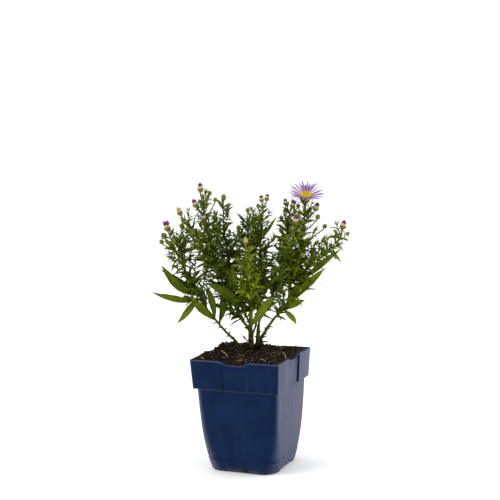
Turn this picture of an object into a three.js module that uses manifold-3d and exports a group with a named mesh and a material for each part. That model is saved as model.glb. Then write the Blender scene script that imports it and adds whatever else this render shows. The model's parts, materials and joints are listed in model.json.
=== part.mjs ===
// Potted woods purple aster: a square nursery pot filled with peat, and a young bushy aster
// with one open bloom and many buds. Millimetres, +Z up. The origin is the middle of the
// pot's base on the floor, and the pot's panelled faces look along X and Y.
import * as THREE from "three";
import Module from "manifold-3d";

const wasm = await Module();
wasm.setup();

// Pot, outer sizes. Each row of the wall is a rounded square at one height.
const POT_HEIGHT = 128;
const RIM_HEIGHT = 33;
const RIM_TOP_HALF = 53.2;
const RIM_FOOT_HALF = 51.2;
const RIM_CORNER = 3;
const WALL = 1.5;
const FLOOR_TOP = 7;
const SKIRT_ROOF = 5;
const SKIRT_WALL = 2.2;
const SIDE_LIFT = 1.2; // the middle of each side stands this much off the ground
const BOSS_RADIUS = 12; // flat middle of the base, level with the corner feet
const BODY_ROWS = [
  { z: 4, half: 40.8, corner: 18 },
  { z: 14, half: 42.7, corner: 16 },
  { z: 36, half: 45.3, corner: 12 },
  { z: 61, half: 47, corner: 9.5 },
  { z: POT_HEIGHT - RIM_HEIGHT, half: 48.6, corner: 8 },
];
const FOOT_ROW = { z: 0, half: 39.4, corner: 17.5 };
const PANEL_HALF = 14.5; // sunk panel in the middle of each rim face
const PANEL_SINK = 2;
const RIM_DIP = 4.5; // the rim's top edge runs lower across the panel
const DRAIN_SIDE = 6.7;
const DRAIN_WIDTH = 5.6;
const DRAIN_HEIGHT = 5.5;

// Potting soil, outer sizes
const FIT_GAP = 0.3; // between pieces that touch on the real thing
const SOIL_BELOW_RIM = 1.2; // where the soil meets the wall
const SOIL_LEVEL = 127.2; // away from the heaps
const HEAPS = [
  { x: -46, y: 20, rise: 5.8, reach: 24 },
  { x: -46, y: -28, rise: 4.4, reach: 22 },
  { x: 4, y: 46, rise: 1.6, reach: 30 },
  { x: -7, y: 16, rise: 3.4, reach: 20 },
];
const CRUMBS = 14;
const CRUMBS_FROM = 14; // distance from the pot's axis
const CRUMBS_TO = 40;
const CROWN_BACK = 18; // the stems rise this far behind the pot's axis
const CROWN_CLEAR = 20; // no crumbs this near the crown

// Plant. Its own frame turns with the side that the bush is seen from: right, front, up.
const PLANT_TURN = THREE.MathUtils.degToRad(22.7);
const PLANT_ORIGIN = new THREE.Vector3(0.6, 0.2, 2); // in the pot's frame
const GOLDEN_TURN = THREE.MathUtils.degToRad(137.5);
const STEM_GAP = 0.4; // between one leafy stem and what belongs to another
const ROOT_DEPTH = 16; // how far a stem stands in the soil
const STATION_STEP = 19; // between the rings of a stem
const SHOOT_SPACING = 18;
const SHOOT_LONG = 22;
const SHOOT_SHORT = 11;
const SHOOT_RADIUS = 0.7;
const SHOOT_SLANT = 0.85; // radians between a side shoot and its leader
const SHOOT_BUDS = 0.4; // share of side shoots that end in a small bud
const SMALL_BUD_LEAST = 1.7; // radius
const SMALL_BUD_MOST = 2.4;
const KNOT_SPACING = 7.5; // between the knots of a side shoot, which carry its small leaves
const KNOT = 1.5;
const LEAF_SLANT = 0.85; // radians between a small leaf and its shoot
const NEEDLE_SLANT = 1.2; // the narrowest leaves stand further out, and a little to one side
const SUBTENDING = 1.5; // the leaf below a side shoot is longer than the others
const SMALL_LEAF_LOW = 12; // length at the foot of a leader
const SMALL_LEAF_HIGH = 8.5; // length at its top
const NEEDLE_REACH = 0.85; // share of a broad leaf's length
const LEAF_BREADTH = 0.19; // width of a small leaf as a share of its length
const LARGE_LEAF_THICKNESS = 0.9;

// Bloom
const BLOOM = { right: 64.8, front: 3, up: 304.8 }; // middle of its disc, in the plant's frame
const BLOOM_TILT = THREE.MathUtils.degToRad(28);
const RAYS_A_LAYER = 17;
const RAY_REACH = 19.6; // from the flower's axis to the longest tip
const RAY_WIDTH = 1.9;
const RAY_THICKNESS = 0.7;
const RAY_LIFT = THREE.MathUtils.degToRad(23);
const DISC_RADIUS = 6.2;
const DISC_HEIGHT = 1.7;
const DISC_FLORETS = 19;
const HUB_RADIUS = 6; // the ring that the rays grow from
const HUB_HOLE = 4.5;

const UP = new THREE.Vector3(0, 0, 1);
const FRONT = new THREE.Vector3(0, -1, 0);

// A point or direction of the plant's frame, from right, front and up.
function at([right, front, up]) {
  return new THREE.Vector3(right, -front, up);
}

// A draw between 0 and 1 that is the same for the same number every time.
function draw(seed) {
  const wave = Math.sin(seed * 12.9898 + 4.1414) * 43758.5453;
  return wave - Math.floor(wave);
}

function between(low, high, share) {
  return low + (high - low) * share;
}

// Solids from triangles, and meshes from solids

function solidFrom(points, triangles) {
  let volume = 0;
  for (const [a, b, c] of triangles) {
    volume += points[a].dot(points[b].clone().cross(points[c]));
  }
  const facing = volume > 0 ? triangles : triangles.map(([a, b, c]) => [a, c, b]);
  const vertProperties = new Float32Array(points.flatMap((p) => [p.x, p.y, p.z]));
  const triVerts = new Uint32Array(facing.flat());
  return new wasm.Manifold(new wasm.Mesh({ numProp: 3, vertProperties, triVerts }));
}

// Triangles between two rings of places: the same count, a point, or twice the count.
function bridge(from, to) {
  const sides = Math.max(from.length, to.length);
  if (from.length > 1 && to.length === 2 * from.length) {
    return from.flatMap((a, i) => {
      const b = from[(i + 1) % from.length];
      const [first, second] = [to[2 * i], to[2 * i + 1]];
      const third = to[(2 * i + 2) % sides];
      return [[a, b, second], [a, second, first], [b, third, second]];
    });
  }
  const triangles = [];
  for (let i = 0; i < sides; i++) {
    const j = (i + 1) % sides;
    if (from.length > 1) triangles.push([from[i], from[j], to[i % to.length]]);
    if (to.length > 1) triangles.push([from[j % from.length], to[j], to[i]]);
  }
  return triangles;
}

// Triangles between two rings round the Z axis whose counts differ, by their bearings.
function zip(from, to, points) {
  const start = Math.atan2(points[from[0]].y, points[from[0]].x);
  const bearing = (places, i) => {
    if (i === 0) return 0;
    if (i >= places.length) return Math.PI * 2;
    const turn = Math.atan2(points[places[i]].y, points[places[i]].x) - start;
    return turn < 0 ? turn + Math.PI * 2 : turn;
  };
  const triangles = [];
  let [i, j] = [0, 0];
  while (i < from.length || j < to.length) {
    const next = [from[(i + 1) % from.length], to[(j + 1) % to.length]];
    if (j >= to.length || (i < from.length && bearing(from, i + 1) <= bearing(to, j + 1))) {
      triangles.push([from[i], next[0], to[j % to.length]]);
      i++;
    } else {
      triangles.push([from[i % from.length], next[1], to[j]]);
      j++;
    }
  }
  return triangles;
}

function fan(places) {
  return places.slice(2).map((place, i) => [places[0], places[i + 1], place]);
}

// Closed solid through a list of sections. A section is a ring of points or a single point.
// Rings of different counts are zipped in a vessel round the Z axis, and bridged elsewhere.
function loft(sections, { isVessel = false } = {}) {
  let count = 0;
  const points = sections.flat();
  const rings = sections.map((section) => section.map(() => count++));
  const sides = rings.slice(1).flatMap((places, i) => {
    const counts = [rings[i].length, places.length];
    const isZipped = isVessel && !counts.includes(1) && counts[0] !== counts[1];
    return isZipped ? zip(rings[i], places, points) : bridge(rings[i], places);
  });
  const caps = [...fan(rings[0].toReversed()), ...fan(rings.at(-1))];
  return solidFrom(points, [...sides, ...caps]);
}

function meshOf(name, solid, material) {
  const { vertProperties, triVerts } = solid.getMesh();
  const geometry = new THREE.BufferGeometry();
  geometry.setAttribute("position", new THREE.BufferAttribute(new Float32Array(vertProperties), 3));
  geometry.setIndex(new THREE.BufferAttribute(new Uint32Array(triVerts), 1));
  geometry.computeVertexNormals();
  const mesh = new THREE.Mesh(geometry, material);
  mesh.name = name;
  return mesh;
}

function finish(color, roughness) {
  return new THREE.MeshStandardMaterial({ color, roughness, metalness: 0 });
}

// Regular ring of points round a centre, square to a direction.
function ring(centre, direction, radius, sides, turn = 0) {
  const side = sideways(direction);
  const other = direction.clone().cross(side);
  return Array.from({ length: sides }, (_, i) => {
    const angle = turn + (i / sides) * Math.PI * 2;
    return centre
      .clone()
      .addScaledVector(side, Math.cos(angle) * radius)
      .addScaledVector(other, Math.sin(angle) * radius);
  });
}

function sideways(direction) {
  const helper = Math.abs(direction.z) > 0.9 ? FRONT : UP;
  return helper.clone().cross(direction).normalize();
}

// Rings along a line of points, each turned as little as possible from the one before.
function tube(points, radii, sides, firstSide) {
  let side = firstSide;
  return points.map((point, i) => {
    const before = points[Math.max(i - 1, 0)];
    const after = points[Math.min(i + 1, points.length - 1)];
    const along = after.clone().sub(before).normalize();
    side = side ? side.clone().addScaledVector(along, -side.dot(along)).normalize() : sideways(along);
    const other = along.clone().cross(side);
    return Array.from({ length: sides }, (_, k) => {
      const angle = (k / sides) * Math.PI * 2;
      return point
        .clone()
        .addScaledVector(side, Math.cos(angle) * radii[i])
        .addScaledVector(other, Math.sin(angle) * radii[i]);
    });
  });
}

// Pot

// One row of the pot's wall, moved inwards by inset, counter-clockwise from the front face.
// A plain row has two points a side, a foot row four, and a row with the sunk panel eight.
function potRow({ z, half, corner }, inset = 0, { points = 1, panel = 0, dip = 0, lift = 0 } = {}) {
  const reach = half - inset;
  const radius = Math.max(corner - inset, 0.8);
  const edge = PANEL_HALF + inset;
  const alongSide = [
    [edge + 4, 0, 0],
    [edge + 0.6, 0, 0.4],
    [edge, panel, 0.5],
    [edge - 5, panel, 1],
  ].slice(0, points);
  const side = [
    ...alongSide.map(([x, sink, low]) => [-x, sink, low]),
    ...alongSide.toReversed(),
  ].map(([x, sink, low]) => [x, sink - reach, z - dip * low + lift * (low > 0 ? 1 : 0)]);
  const arc = Array.from({ length: 4 }, (_, i) => {
    const angle = ((i + 0.5) / 4 - 1) * (Math.PI / 2);
    const middle = reach - radius;
    return [middle + Math.cos(angle) * radius, Math.sin(angle) * radius - middle, z];
  });
  const quarter = [...side, ...arc].map((p) => new THREE.Vector3(...p));
  return [0, 1, 2, 3].flatMap((turns) =>
    quarter.map((p) => p.clone().applyAxisAngle(UP, (turns * Math.PI) / 2)),
  );
}

// The points of a row, pulled in to a circle at another height.
function circleBelow(row, radius, z) {
  return row.map((p) => {
    const scale = radius / Math.hypot(p.x, p.y);
    return new THREE.Vector3(p.x * scale, p.y * scale, z);
  });
}

function outerRimRows() {
  const foot = { z: POT_HEIGHT - RIM_HEIGHT, half: RIM_FOOT_HALF, corner: RIM_CORNER };
  const top = { z: POT_HEIGHT, half: RIM_TOP_HALF, corner: RIM_CORNER };
  return { foot, top };
}

function makePot() {
  const { foot, top } = outerRimRows();
  const lifted = { points: 2, lift: SIDE_LIFT };
  const panelled = { points: 4, panel: PANEL_SINK };
  const skirt = potRow(FOOT_ROW, 0, lifted);
  const ledge = { ...foot, z: foot.z + WALL + 0.3 };
  const bodyTop = BODY_ROWS.at(-1);
  const floorRow = { ...BODY_ROWS[0], z: FLOOR_TOP };
  const rows = [
    [new THREE.Vector3(0, 0, 0)],
    circleBelow(skirt, BOSS_RADIUS, 0),
    circleBelow(skirt, BOSS_RADIUS + 1.5, SKIRT_ROOF),
    potRow({ ...FOOT_ROW, z: SKIRT_ROOF }, SKIRT_WALL, { points: 2 }),
    potRow(FOOT_ROW, SKIRT_WALL - 0.4, lifted),
    skirt,
    ...BODY_ROWS.slice(0, -1).map((row) => potRow(row)),
    potRow(bodyTop, 0, { points: 4 }),
    potRow(foot, 0, panelled),
    potRow(top, 0, { ...panelled, dip: RIM_DIP }),
    potRow(top, WALL, { ...panelled, dip: RIM_DIP }),
    potRow(ledge, WALL, panelled),
    potRow({ ...bodyTop, z: ledge.z }, WALL, { points: 4 }),
    potRow(BODY_ROWS[2], WALL),
    potRow(floorRow, WALL),
    [new THREE.Vector3(0, 0, FLOOR_TOP)],
  ];
  return loft(rows, { isVessel: true }).subtract(drainNotches());
}

// One arched drain notch through the skirt of each side.
function drainNotches() {
  const arch = new THREE.Shape();
  const half = DRAIN_WIDTH / 2;
  arch.moveTo(-half, -2);
  arch.lineTo(half, -2);
  arch.lineTo(half * 0.5, DRAIN_HEIGHT);
  arch.lineTo(-half * 0.5, DRAIN_HEIGHT);
  const notches = [0, 1, 2, 3].map((turns) => {
    const geometry = new THREE.ExtrudeGeometry(arch, { depth: 8, bevelEnabled: false });
    geometry.rotateX(Math.PI / 2);
    geometry.translate(DRAIN_SIDE, -33.5, 0);
    geometry.rotateZ((turns * Math.PI) / 2);
    return solidOfGeometry(geometry);
  });
  return wasm.Manifold.union(notches);
}

// Solid of a closed three.js geometry, with its doubled points merged.
function solidOfGeometry(geometry) {
  const position = geometry.getAttribute("position");
  const index = geometry.index ? [...geometry.index.array] : [...Array(position.count).keys()];
  const seen = new Map();
  const points = [];
  const places = index.map((i) => {
    const p = new THREE.Vector3().fromBufferAttribute(position, i);
    const key = [p.x, p.y, p.z].map((v) => v.toFixed(4)).join();
    if (!seen.has(key)) seen.set(key, points.push(p) - 1);
    return seen.get(key);
  });
  const triangles = [];
  for (let i = 0; i < places.length; i += 3) triangles.push(places.slice(i, i + 3));
  const whole = triangles.filter(([a, b, c]) => a !== b && b !== c && a !== c);
  return solidFrom(points, whole);
}

// Leafy stems. A leader is a route of hand-set points, [right, front, up]. A fork starts on
// its parent's route, at a height. leafyFrom is the bare length at its foot.
const LEADERS = [
  {
    name: "left", stem: "left", radius: [1.8, 0.7], leafyFrom: 78,
    route: [
      [-13, -14, 130], [-19, -12, 139], [-30, -8, 151], [-44, -3, 170], [-54, 0, 185],
      [-64, 4, 210], [-74, 6, 226], [-82, 8, 244], [-90, 10, 267],
    ],
  },
  {
    name: "left_inner", parent: "left", height: 227, radius: [1.1, 0.7], leafyFrom: 8,
    route: [[-77, 3, 243], [-77, 0, 256], [-76, -3, 268]],
  },
  {
    name: "centre_left", stem: "centre", radius: [2.1, 0.7], leafyFrom: 52,
    route: [
      [0, -12, 131], [0, -9, 145], [-4, -6, 155], [-11, -3, 165], [-21, 0, 188],
      [-32, 2, 211], [-41, 4, 240], [-48, 4, 274], [-53, 4, 309],
    ],
  },
  {
    name: "centre_back", parent: "centre_left", height: 160, radius: [1.3, 0.7], leafyFrom: 12,
    route: [[-17, -12, 186], [-23, -18, 220], [-28, -20, 260], [-29, -20, 298]],
  },
  {
    name: "centre_outer", parent: "centre_left", height: 210, radius: [1.2, 0.7], leafyFrom: 14,
    route: [[-45, 9, 232], [-56, 13, 252], [-62, 14, 261]],
  },
  {
    name: "plume", parent: "centre_left", height: 146, radius: [1.6, 0.8], leafyFrom: 26,
    route: [[1, 0, 170], [0, 10, 188], [-1, 21, 208], [-3, 30, 234], [-4, 36, 252]],
  },
  {
    name: "centre_right", parent: "centre_left", height: 144, radius: [1.5, 0.8], leafyFrom: 30,
    route: [[5, -8, 156], [8, -8, 174], [10, -8, 197], [12, -8, 229], [13, -6, 260], [17, -5, 294]],
  },
  {
    name: "right", stem: "right", radius: [2, 0.9], flare: 1.4, leafyFrom: 84,
    route: [
      [8, -15, 131], [9, -14, 137], [14, -10, 146], [26, -6, 164], [40, -2, 180],
      [47, 0, 209], [54, 2, 237], [61, 1, 268], [64.8, -1.2, 297.4],
    ],
  },
  {
    name: "right_front", parent: "right", height: 188, radius: [1.3, 0.8], leafyFrom: 12,
    route: [[44, 8, 210], [46, 12, 231], [49, 14, 256], [51, 14, 270]],
  },
  {
    name: "right_back", parent: "right", height: 206, radius: [1.3, 0.8], leafyFrom: 12,
    route: [[45, -7, 231], [44, -12, 253], [44, -12, 274], [48, -12, 288]],
  },
  {
    name: "right_arm", parent: "right", height: 177, radius: [1.6, 0.8], leafyFrom: 16,
    route: [[53, 2, 203], [68, 5, 229], [88, 8, 243], [100, 8, 255], [104, 8, 265]],
  },
  {
    name: "thin", parent: "right", height: 135, radius: [1.3, 0.7], leafyFrom: 50,
    route: [
      [9, -20, 146], [9, -26, 163], [7, -34, 194], [2, -38, 228], [-1, -40, 257], [-1, -42, 282],
    ],
  },
  {
    name: "thin_fork", parent: "thin", height: 228, radius: [0.9, 0.6], leafyFrom: 8,
    route: [[-6, -46, 249], [-11, -48, 261]],
  },
  {
    name: "back_left", stem: "back_left", radius: [1.7, 0.8], leafyFrom: 50,
    route: [
      [1, -27, 130], [0, -30, 148], [-7, -36, 166], [-19, -43, 186], [-27, -50, 205],
      [-34, -58, 240], [-38, -60, 270],
    ],
  },
  {
    name: "back_left_fork", parent: "back_left", height: 192, radius: [1.2, 0.7], leafyFrom: 14,
    route: [[-38, -46, 222], [-50, -42, 248]],
  },
  {
    name: "back_middle", stem: "back_middle", radius: [1.7, 0.8], leafyFrom: 46,
    route: [[-2, -31, 129], [-2, -39, 152], [2, -53, 180], [6, -68, 212], [8, -76, 242]],
  },
  {
    name: "back_middle_fork", parent: "back_middle", height: 186, radius: [1.2, 0.7], leafyFrom: 12,
    route: [[-9, -68, 215], [-15, -73, 238]],
  },
  {
    name: "back_right", stem: "back_right", radius: [1.7, 0.8], leafyFrom: 50,
    route: [
      [6, -28, 130], [8, -32, 150], [14, -38, 168], [26, -46, 186], [36, -53, 208],
      [44, -59, 240], [48, -60, 266],
    ],
  },
  {
    name: "back_right_fork", parent: "back_right", height: 190, radius: [1.2, 0.7], leafyFrom: 14,
    route: [[44, -42, 215], [57, -38, 240], [63, -36, 260]],
  },
  {
    name: "centre_far", parent: "centre_outer", height: 236, radius: [1, 0.7], leafyFrom: 8,
    route: [[-55, 8, 259], [-62, 6, 269], [-69, 4, 277], [-75, 2, 282]],
  },
];

// Large leaves: leader, height of the root, tip, width, how far the middle is bowed off the
// chord, and the way that the upper face looks.
const LARGE_LEAVES = [
  ["left", 194, [-99, 11, 231], 11.5, [-2, 0, -6], [0, 1, 0.5]],
  ["left", 199, [-101, 3, 225], 7, [0, 0, -1], [0, 1, 0.7]],
  ["left", 190, [-111, 6, 200], 8, [0, 0, -5], [0.1, 1, 0.6]],
  ["left", 195, [-80, 16, 166], 7, [2.5, 0, -1], [-0.5, 1, 0.3]],
  ["left", 160, [-32, 9, 201], 8.5, [3, 0, 0], [0.3, 1, 0]],
  ["left", 164, [-68, 15, 197], 9.5, [-2, 0, -1], [0, 1, 0.5]],
  ["left", 178, [-62, -30, 200], 8, [0, 0, 4], [-0.4, -0.6, 1]],
  ["plume", 172, [-48, 30, 211], 13, [0, 0, 3], [0.3, 1, 0.6]],
  ["centre_left", 166, [-23, 13, 166], 7, [0, 0, 2], [0, 0.6, 1]],
  ["centre_left", 196, [-54, -18, 222], 7, [0, 0, 3], [0, -0.5, 1]],
  ["centre_left", 188, [-20, 22, 231], 11, [2, 0, 0], [-0.2, 1, 0]],
  ["plume", 168, [24, 26, 193], 9, [0, 0, 3], [0, 1, 0.7]],
  ["plume", 186, [12, 44, 204], 6, [0, 0, 3], [0, 0.5, 1]],
  ["right", 180, [84, 15, 224], 11, [0, 0, 0], [-0.3, 1, 0.4]],
  ["right", 179, [60, 9, 189], 8, [0, 0, 1], [0, 1, 0.6]],
  ["right", 177, [50, 7, 160], 6, [1.5, 0, 0], [0.4, 1, 0.3]],
  ["right", 184, [66, -36, 204], 8, [0, 0, 4], [0.4, -0.6, 1]],
  ["right_arm", 206, [103, 12, 245], 8, [0, 0, 0], [-0.3, 1, 0.5]],
  ["right_arm", 243, [102, 13, 229], 4.5, [0, 0, 1], [0.3, 1, 0.3]],
  ["right_arm", 243, [81, 11, 258], 4, [0, 0, 1], [0.5, 1, 0]],
  ["right_arm", 256, [94, 10, 266], 3, [0, 0, 1], [0.3, 1, 0]],
  ["right_arm", 256, [111, 10, 252], 2.6, [0, 0, 1], [0, 1, 0.5]],
  ["centre_right", 252, [32, -2, 281], 3.6, [0, 0, 1], [-0.3, 1, 0.2]],
  ["centre_right", 190, [34, 8, 214], 6, [0, 0, 3], [-0.2, 1, 0.5]],
  ["thin", 268, [-14, -44, 283], 3.2, [0, 0, 1], [0.4, 1, 0]],
  ["thin", 180, [22, -58, 206], 7, [0, 0, 3], [0.3, -0.6, 1]],
  ["right_back", 262, [30, -8, 271], 3.4, [0, 0, 2], [0, 1, 0.5]],
  ["right_back", 250, [26, -6, 258], 3.6, [0, 0, 2], [0, 1, 0.5]],
  ["back_left", 160, [-44, -62, 182], 9, [0, 0, 5], [-0.3, -0.6, 1]],
  ["back_left", 172, [-8, -74, 196], 8, [0, 0, 5], [0.1, -1, 1]],
  ["back_left", 186, [-64, -58, 206], 8, [0, 0, 4], [-0.4, -0.6, 1]],
  ["back_middle", 160, [14, -84, 176], 9, [0, 0, 5], [0.2, -1, 1]],
  ["back_middle", 176, [-22, -94, 200], 8, [0, 0, 4], [-0.2, -1, 1]],
  ["back_right", 160, [44, -62, 178], 9, [0, 0, 5], [0.4, -0.6, 1]],
  ["back_right", 176, [68, -58, 196], 8, [0, 0, 4], [0.4, -0.4, 1]],
  ["back_right", 190, [28, -84, 216], 8, [0, 0, 4], [0, -1, 1]],
  ["left", 166, [-48, 6, 205], 8, [1, 0, 0], [0.3, 1, 0]],
  ["centre_left", 176, [-45, -4, 185], 5.5, [0, 0, -2], [0, 1, 0.6]],
  ["right_arm", 256, [86, 10, 257], 3, [0, 0, 1], [0, 1, 0.5]],
  ["right_back", 244, [36, 2, 268], 3.2, [0, 0, 1], [0, 1, 0.4]],
];

// Buds: leader, height where the stalk leaves it, middle of the green cup, cup radius, and
// petals that show: none, tip or opening.
const BUDS = [
  ["left", 266, [-91, 10, 272], 3.4, "opening"],
  ["left", 255, [-95, 8, 263], 3.1, "none"],
  ["left", 248, [-98, 6, 256], 2.4, "none"],
  ["left", 246, [-84, 15, 257], 3, "none"],
  ["centre_far", 281, [-77, 1, 288], 3.1, "tip"],
  ["left_inner", 266, [-75, -3, 272], 2.7, "none"],
  ["centre_outer", 260, [-63, 14, 266], 3, "none"],
  ["centre_left", 307, [-53, 4, 314], 3.3, "tip"],
  ["centre_left", 284, [-59, 8, 297], 3.2, "tip"],
  ["centre_left", 292, [-43, 0, 309], 2.3, "none"],
  ["centre_left", 280, [-37, -5, 301], 2.3, "none"],
  ["centre_left", 272, [-50, 13, 283], 2.6, "tip"],
  ["centre_back", 297, [-28, -20, 303], 2.8, "none"],
  ["centre_right", 292, [15, -4, 300], 2.6, "tip"],
  ["centre_right", 290, [21, -8, 301], 2.6, "tip"],
  ["centre_right", 278, [11, -9, 293], 2.2, "none"],
  ["plume", 251, [-4, 37, 257], 2.7, "tip"],
  ["right_front", 269, [52, 15, 276], 3.4, "tip"],
  ["right_back", 275, [42, -13, 295], 2.6, "tip"],
  ["right_back", 287, [50, -12, 292], 3, "opening"],
  ["right_back", 262, [41, -17, 286], 1.9, "none"],
  ["right_back", 268, [37, -10, 279], 2.1, "none"],
  ["right", 276, [75, 8, 290], 3.3, "tip"],
  ["right", 262, [77, 8, 280], 2.6, "none"],
  ["right", 280, [56, -7, 292], 2.3, "none"],
  ["right", 250, [85, 3, 269], 2.4, "none"],
  ["right_arm", 264, [105, 8, 269], 3.3, "tip"],
  ["thin", 281, [-1, -42, 286], 2.4, "none"],
  ["thin_fork", 260, [-12, -48, 265], 2.7, "none"],
  ["back_left", 268, [-39, -61, 275], 2.8, "none"],
  ["back_left_fork", 246, [-52, -42, 253], 2.6, "none"],
  ["back_middle", 240, [9, -78, 247], 2.8, "none"],
  ["back_middle_fork", 236, [-16, -74, 243], 2.4, "none"],
  ["back_right", 264, [49, -61, 271], 2.8, "none"],
  ["back_right_fork", 258, [64, -36, 265], 2.6, "none"],
  ["centre_left", 290, [-54, 6, 300], 2.2, "none"],
  ["centre_left", 286, [-46, 8, 297], 2.1, "none"],
  ["right", 270, [69, -2, 288], 2.2, "none"],
];

// Beads fill each placed piece, so that a new one can be tested against those of others.

const CELL = 4; // the beads are looked up by the cube of this side that they lie in
const BEAD_STEP = 1.3;
const LEAF_BEAD = 0.8;
const cells = new Map();

function cellOf(point) {
  return [point.x, point.y, point.z].map((v) => Math.floor(v / CELL));
}

function occupy(beads, stem, group) {
  for (const bead of beads) {
    const key = cellOf(bead.point).join();
    if (!cells.has(key)) cells.set(key, []);
    cells.get(key).push({ ...bead, stem, group });
  }
}

// Whether a piece of this stem comes too near another stem, or crosses another shoot.
function isBlocked(beads, stem, groups) {
  return beads.some((bead) => {
    const [cx, cy, cz] = cellOf(bead.point);
    for (let x = cx - 1; x <= cx + 1; x++) {
      for (let y = cy - 1; y <= cy + 1; y++) {
        for (let z = cz - 1; z <= cz + 1; z++) {
          for (const other of cells.get([x, y, z].join()) ?? []) {
            if (other.stem === stem && groups.includes(other.group)) continue;
            const gap = other.stem === stem ? 0 : STEM_GAP;
            const room = bead.radius + other.radius + gap;
            if (bead.point.distanceTo(other.point) < room) return true;
          }
        }
      }
    }
    return false;
  });
}

// Beads along a line of points, with lanes side by side for a flat blade.
function beadsAlong(points, radius, lanes = [null]) {
  const beads = [];
  for (let i = 0; i < points.length - 1; i++) {
    const steps = Math.ceil(points[i].distanceTo(points[i + 1]) / BEAD_STEP);
    for (let step = 0; step <= steps; step++) {
      const middle = points[i].clone().lerp(points[i + 1], step / steps);
      for (const lane of lanes) {
        const point = lane ? middle.clone().add(lane) : middle;
        beads.push({ point, radius });
      }
    }
  }
  return beads;
}

// A leader's curve, with its length and its thickness along the way.
class Leader {
  constructor({ name, stem, parent, height, radius, leafyFrom, route, flare = 0 }) {
    const start = parent ? [parent.point(parent.shareAtHeight(height))] : [];
    Object.assign(this, { name, parent, radius, leafyFrom, flare });
    this.stem = parent ? parent.stem : stem;
    this.curve = new THREE.CatmullRomCurve3([...start, ...route.map(at)]);
    this.length = this.curve.getLength();
    this.steps = Math.max(3, Math.round(this.length / STATION_STEP));
    this.stations = this.curve.getSpacedPoints(this.steps);
  }

  // The middle of the tube, which runs straight from station to station.
  point(share) {
    return onLine(this.stations, THREE.MathUtils.clamp(share, 0, 1));
  }

  direction(share) {
    return this.curve.getTangentAt(THREE.MathUtils.clamp(share, 0, 1));
  }

  radiusAt(share) {
    const wide = this.flare * Math.exp((-share * this.length) / 7);
    return between(this.radius[0], this.radius[1], share) + wide;
  }

  // The share of the length at which the route reaches a height.
  shareAtHeight(height) {
    let low = 0;
    let high = 1;
    for (let i = 0; i < 24; i++) {
      const middle = (low + high) / 2;
      if (this.point(middle).z < height) low = middle;
      else high = middle;
    }
    return low;
  }
}

const leaders = new Map();
for (const row of LEADERS) {
  leaders.set(row.name, new Leader({ ...row, parent: leaders.get(row.parent) }));
}
const stemNames = [...new Set([...leaders.values()].map((leader) => leader.stem))];
const rooted = [...leaders.values()].filter((leader) => !leader.parent);
const pieces = new Map(stemNames.map((name) => [name, []]));

function placePiece(leader, group, solid, beads) {
  pieces.get(leader.stem).push(solid);
  occupy(beads, leader.stem, group);
}

// The leader's own tube. A rooted one first goes straight down into the soil.
function leaderSections(leader, extra = 0, toShare = 1) {
  const sides = leader.parent ? 4 : 6;
  const count = Math.ceil(leader.steps * toShare) + 1;
  const shares = Array.from({ length: count }, (_, i) => i / leader.steps);
  const points = leader.stations.slice(0, count).map((point) => point.clone());
  const radii = shares.map((share) => leader.radiusAt(share) + extra);
  if (leader.parent) {
    radii[0] *= 0.6;
  } else {
    points.unshift(leader.point(0).addScaledVector(UP, -ROOT_DEPTH - extra));
    radii.unshift(radii[0] * 0.9);
  }
  return tube(points, radii, sides);
}

function growLeader(leader) {
  const steps = Math.ceil(leader.length / 6);
  const beads = Array.from({ length: steps }, (_, i) => {
    const ends = [leader.point(i / steps), leader.point((i + 1) / steps)];
    return beadsAlong(ends, leader.radiusAt(i / steps));
  });
  placePiece(leader, leader.name, loft(leaderSections(leader)), beads.flat());
}

// Leaf blade with a sharp edge on both sides, thickest along its middle rib.
function blade(path, widths, thickness, face) {
  const sections = path.map((point, i) => {
    if (widths[i] === 0) return [point];
    const before = path[Math.max(i - 1, 0)];
    const after = path[Math.min(i + 1, path.length - 1)];
    const along = after.clone().sub(before).normalize();
    const side = along.clone().cross(face).normalize();
    const normal = side.clone().cross(along);
    return [
      point.clone().addScaledVector(side, widths[i] / 2),
      point.clone().addScaledVector(normal, thickness / 2),
      point.clone().addScaledVector(side, -widths[i] / 2),
      point.clone().addScaledVector(normal, -thickness / 2),
    ];
  });
  return loft(sections);
}

// Three-sided narrow blade, flat above and keeled below, from a slim root to a point.
function narrowBlade([root, middle, tip], width, thickness, face) {
  const along = tip.clone().sub(root).normalize();
  const side = along.clone().cross(face).normalize();
  const normal = side.clone().cross(along);
  const section = (point, size) => [
    point.clone().addScaledVector(side, (size * width) / 2),
    point.clone().addScaledVector(side, (-size * width) / 2),
    point.clone().addScaledVector(normal, -size * thickness),
  ];
  return loft([section(root, 0.4), section(middle, 1), [tip]]);
}

// Places on the way from start to tip, with the middle moved by bow.
function bowed(start, tip, bow, shares) {
  return shares.map((share) =>
    start
      .clone()
      .lerp(tip, share)
      .addScaledVector(bow, 4 * share * (1 - share)),
  );
}

function growLargeLeaf([name, height, tip, width, bow, face], index) {
  const leader = leaders.get(name);
  const root = leader.point(leader.shareAtHeight(height));
  const path = bowed(root, at(tip), at(bow), [0, 0.22, 0.5, 0.8, 1]);
  const widths = [0.12, 0.62, 1, 0.66, 0].map((share) => share * width);
  const side = path[3].clone().sub(path[1]).cross(at(face)).normalize();
  const lane = (share) => side.clone().multiplyScalar(share * width);
  const beads = [
    ...beadsAlong([path[0].clone().lerp(path[1], 0.4), path[1]], LEAF_BEAD),
    ...beadsAlong(path.slice(1, 4), LEAF_BEAD, [-0.4, -0.2, 0, 0.2, 0.4].map(lane)),
    ...beadsAlong(path.slice(3), LEAF_BEAD),
  ];
  const isNarrow = width <= 4;
  const solid = isNarrow
    ? narrowBlade([path[0], path[2], path[4]], width, LARGE_LEAF_THICKNESS, at(face))
    : blade(path, widths, LARGE_LEAF_THICKNESS, at(face));
  placePiece(leader, "large leaf " + index, solid, beads);
}

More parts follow.
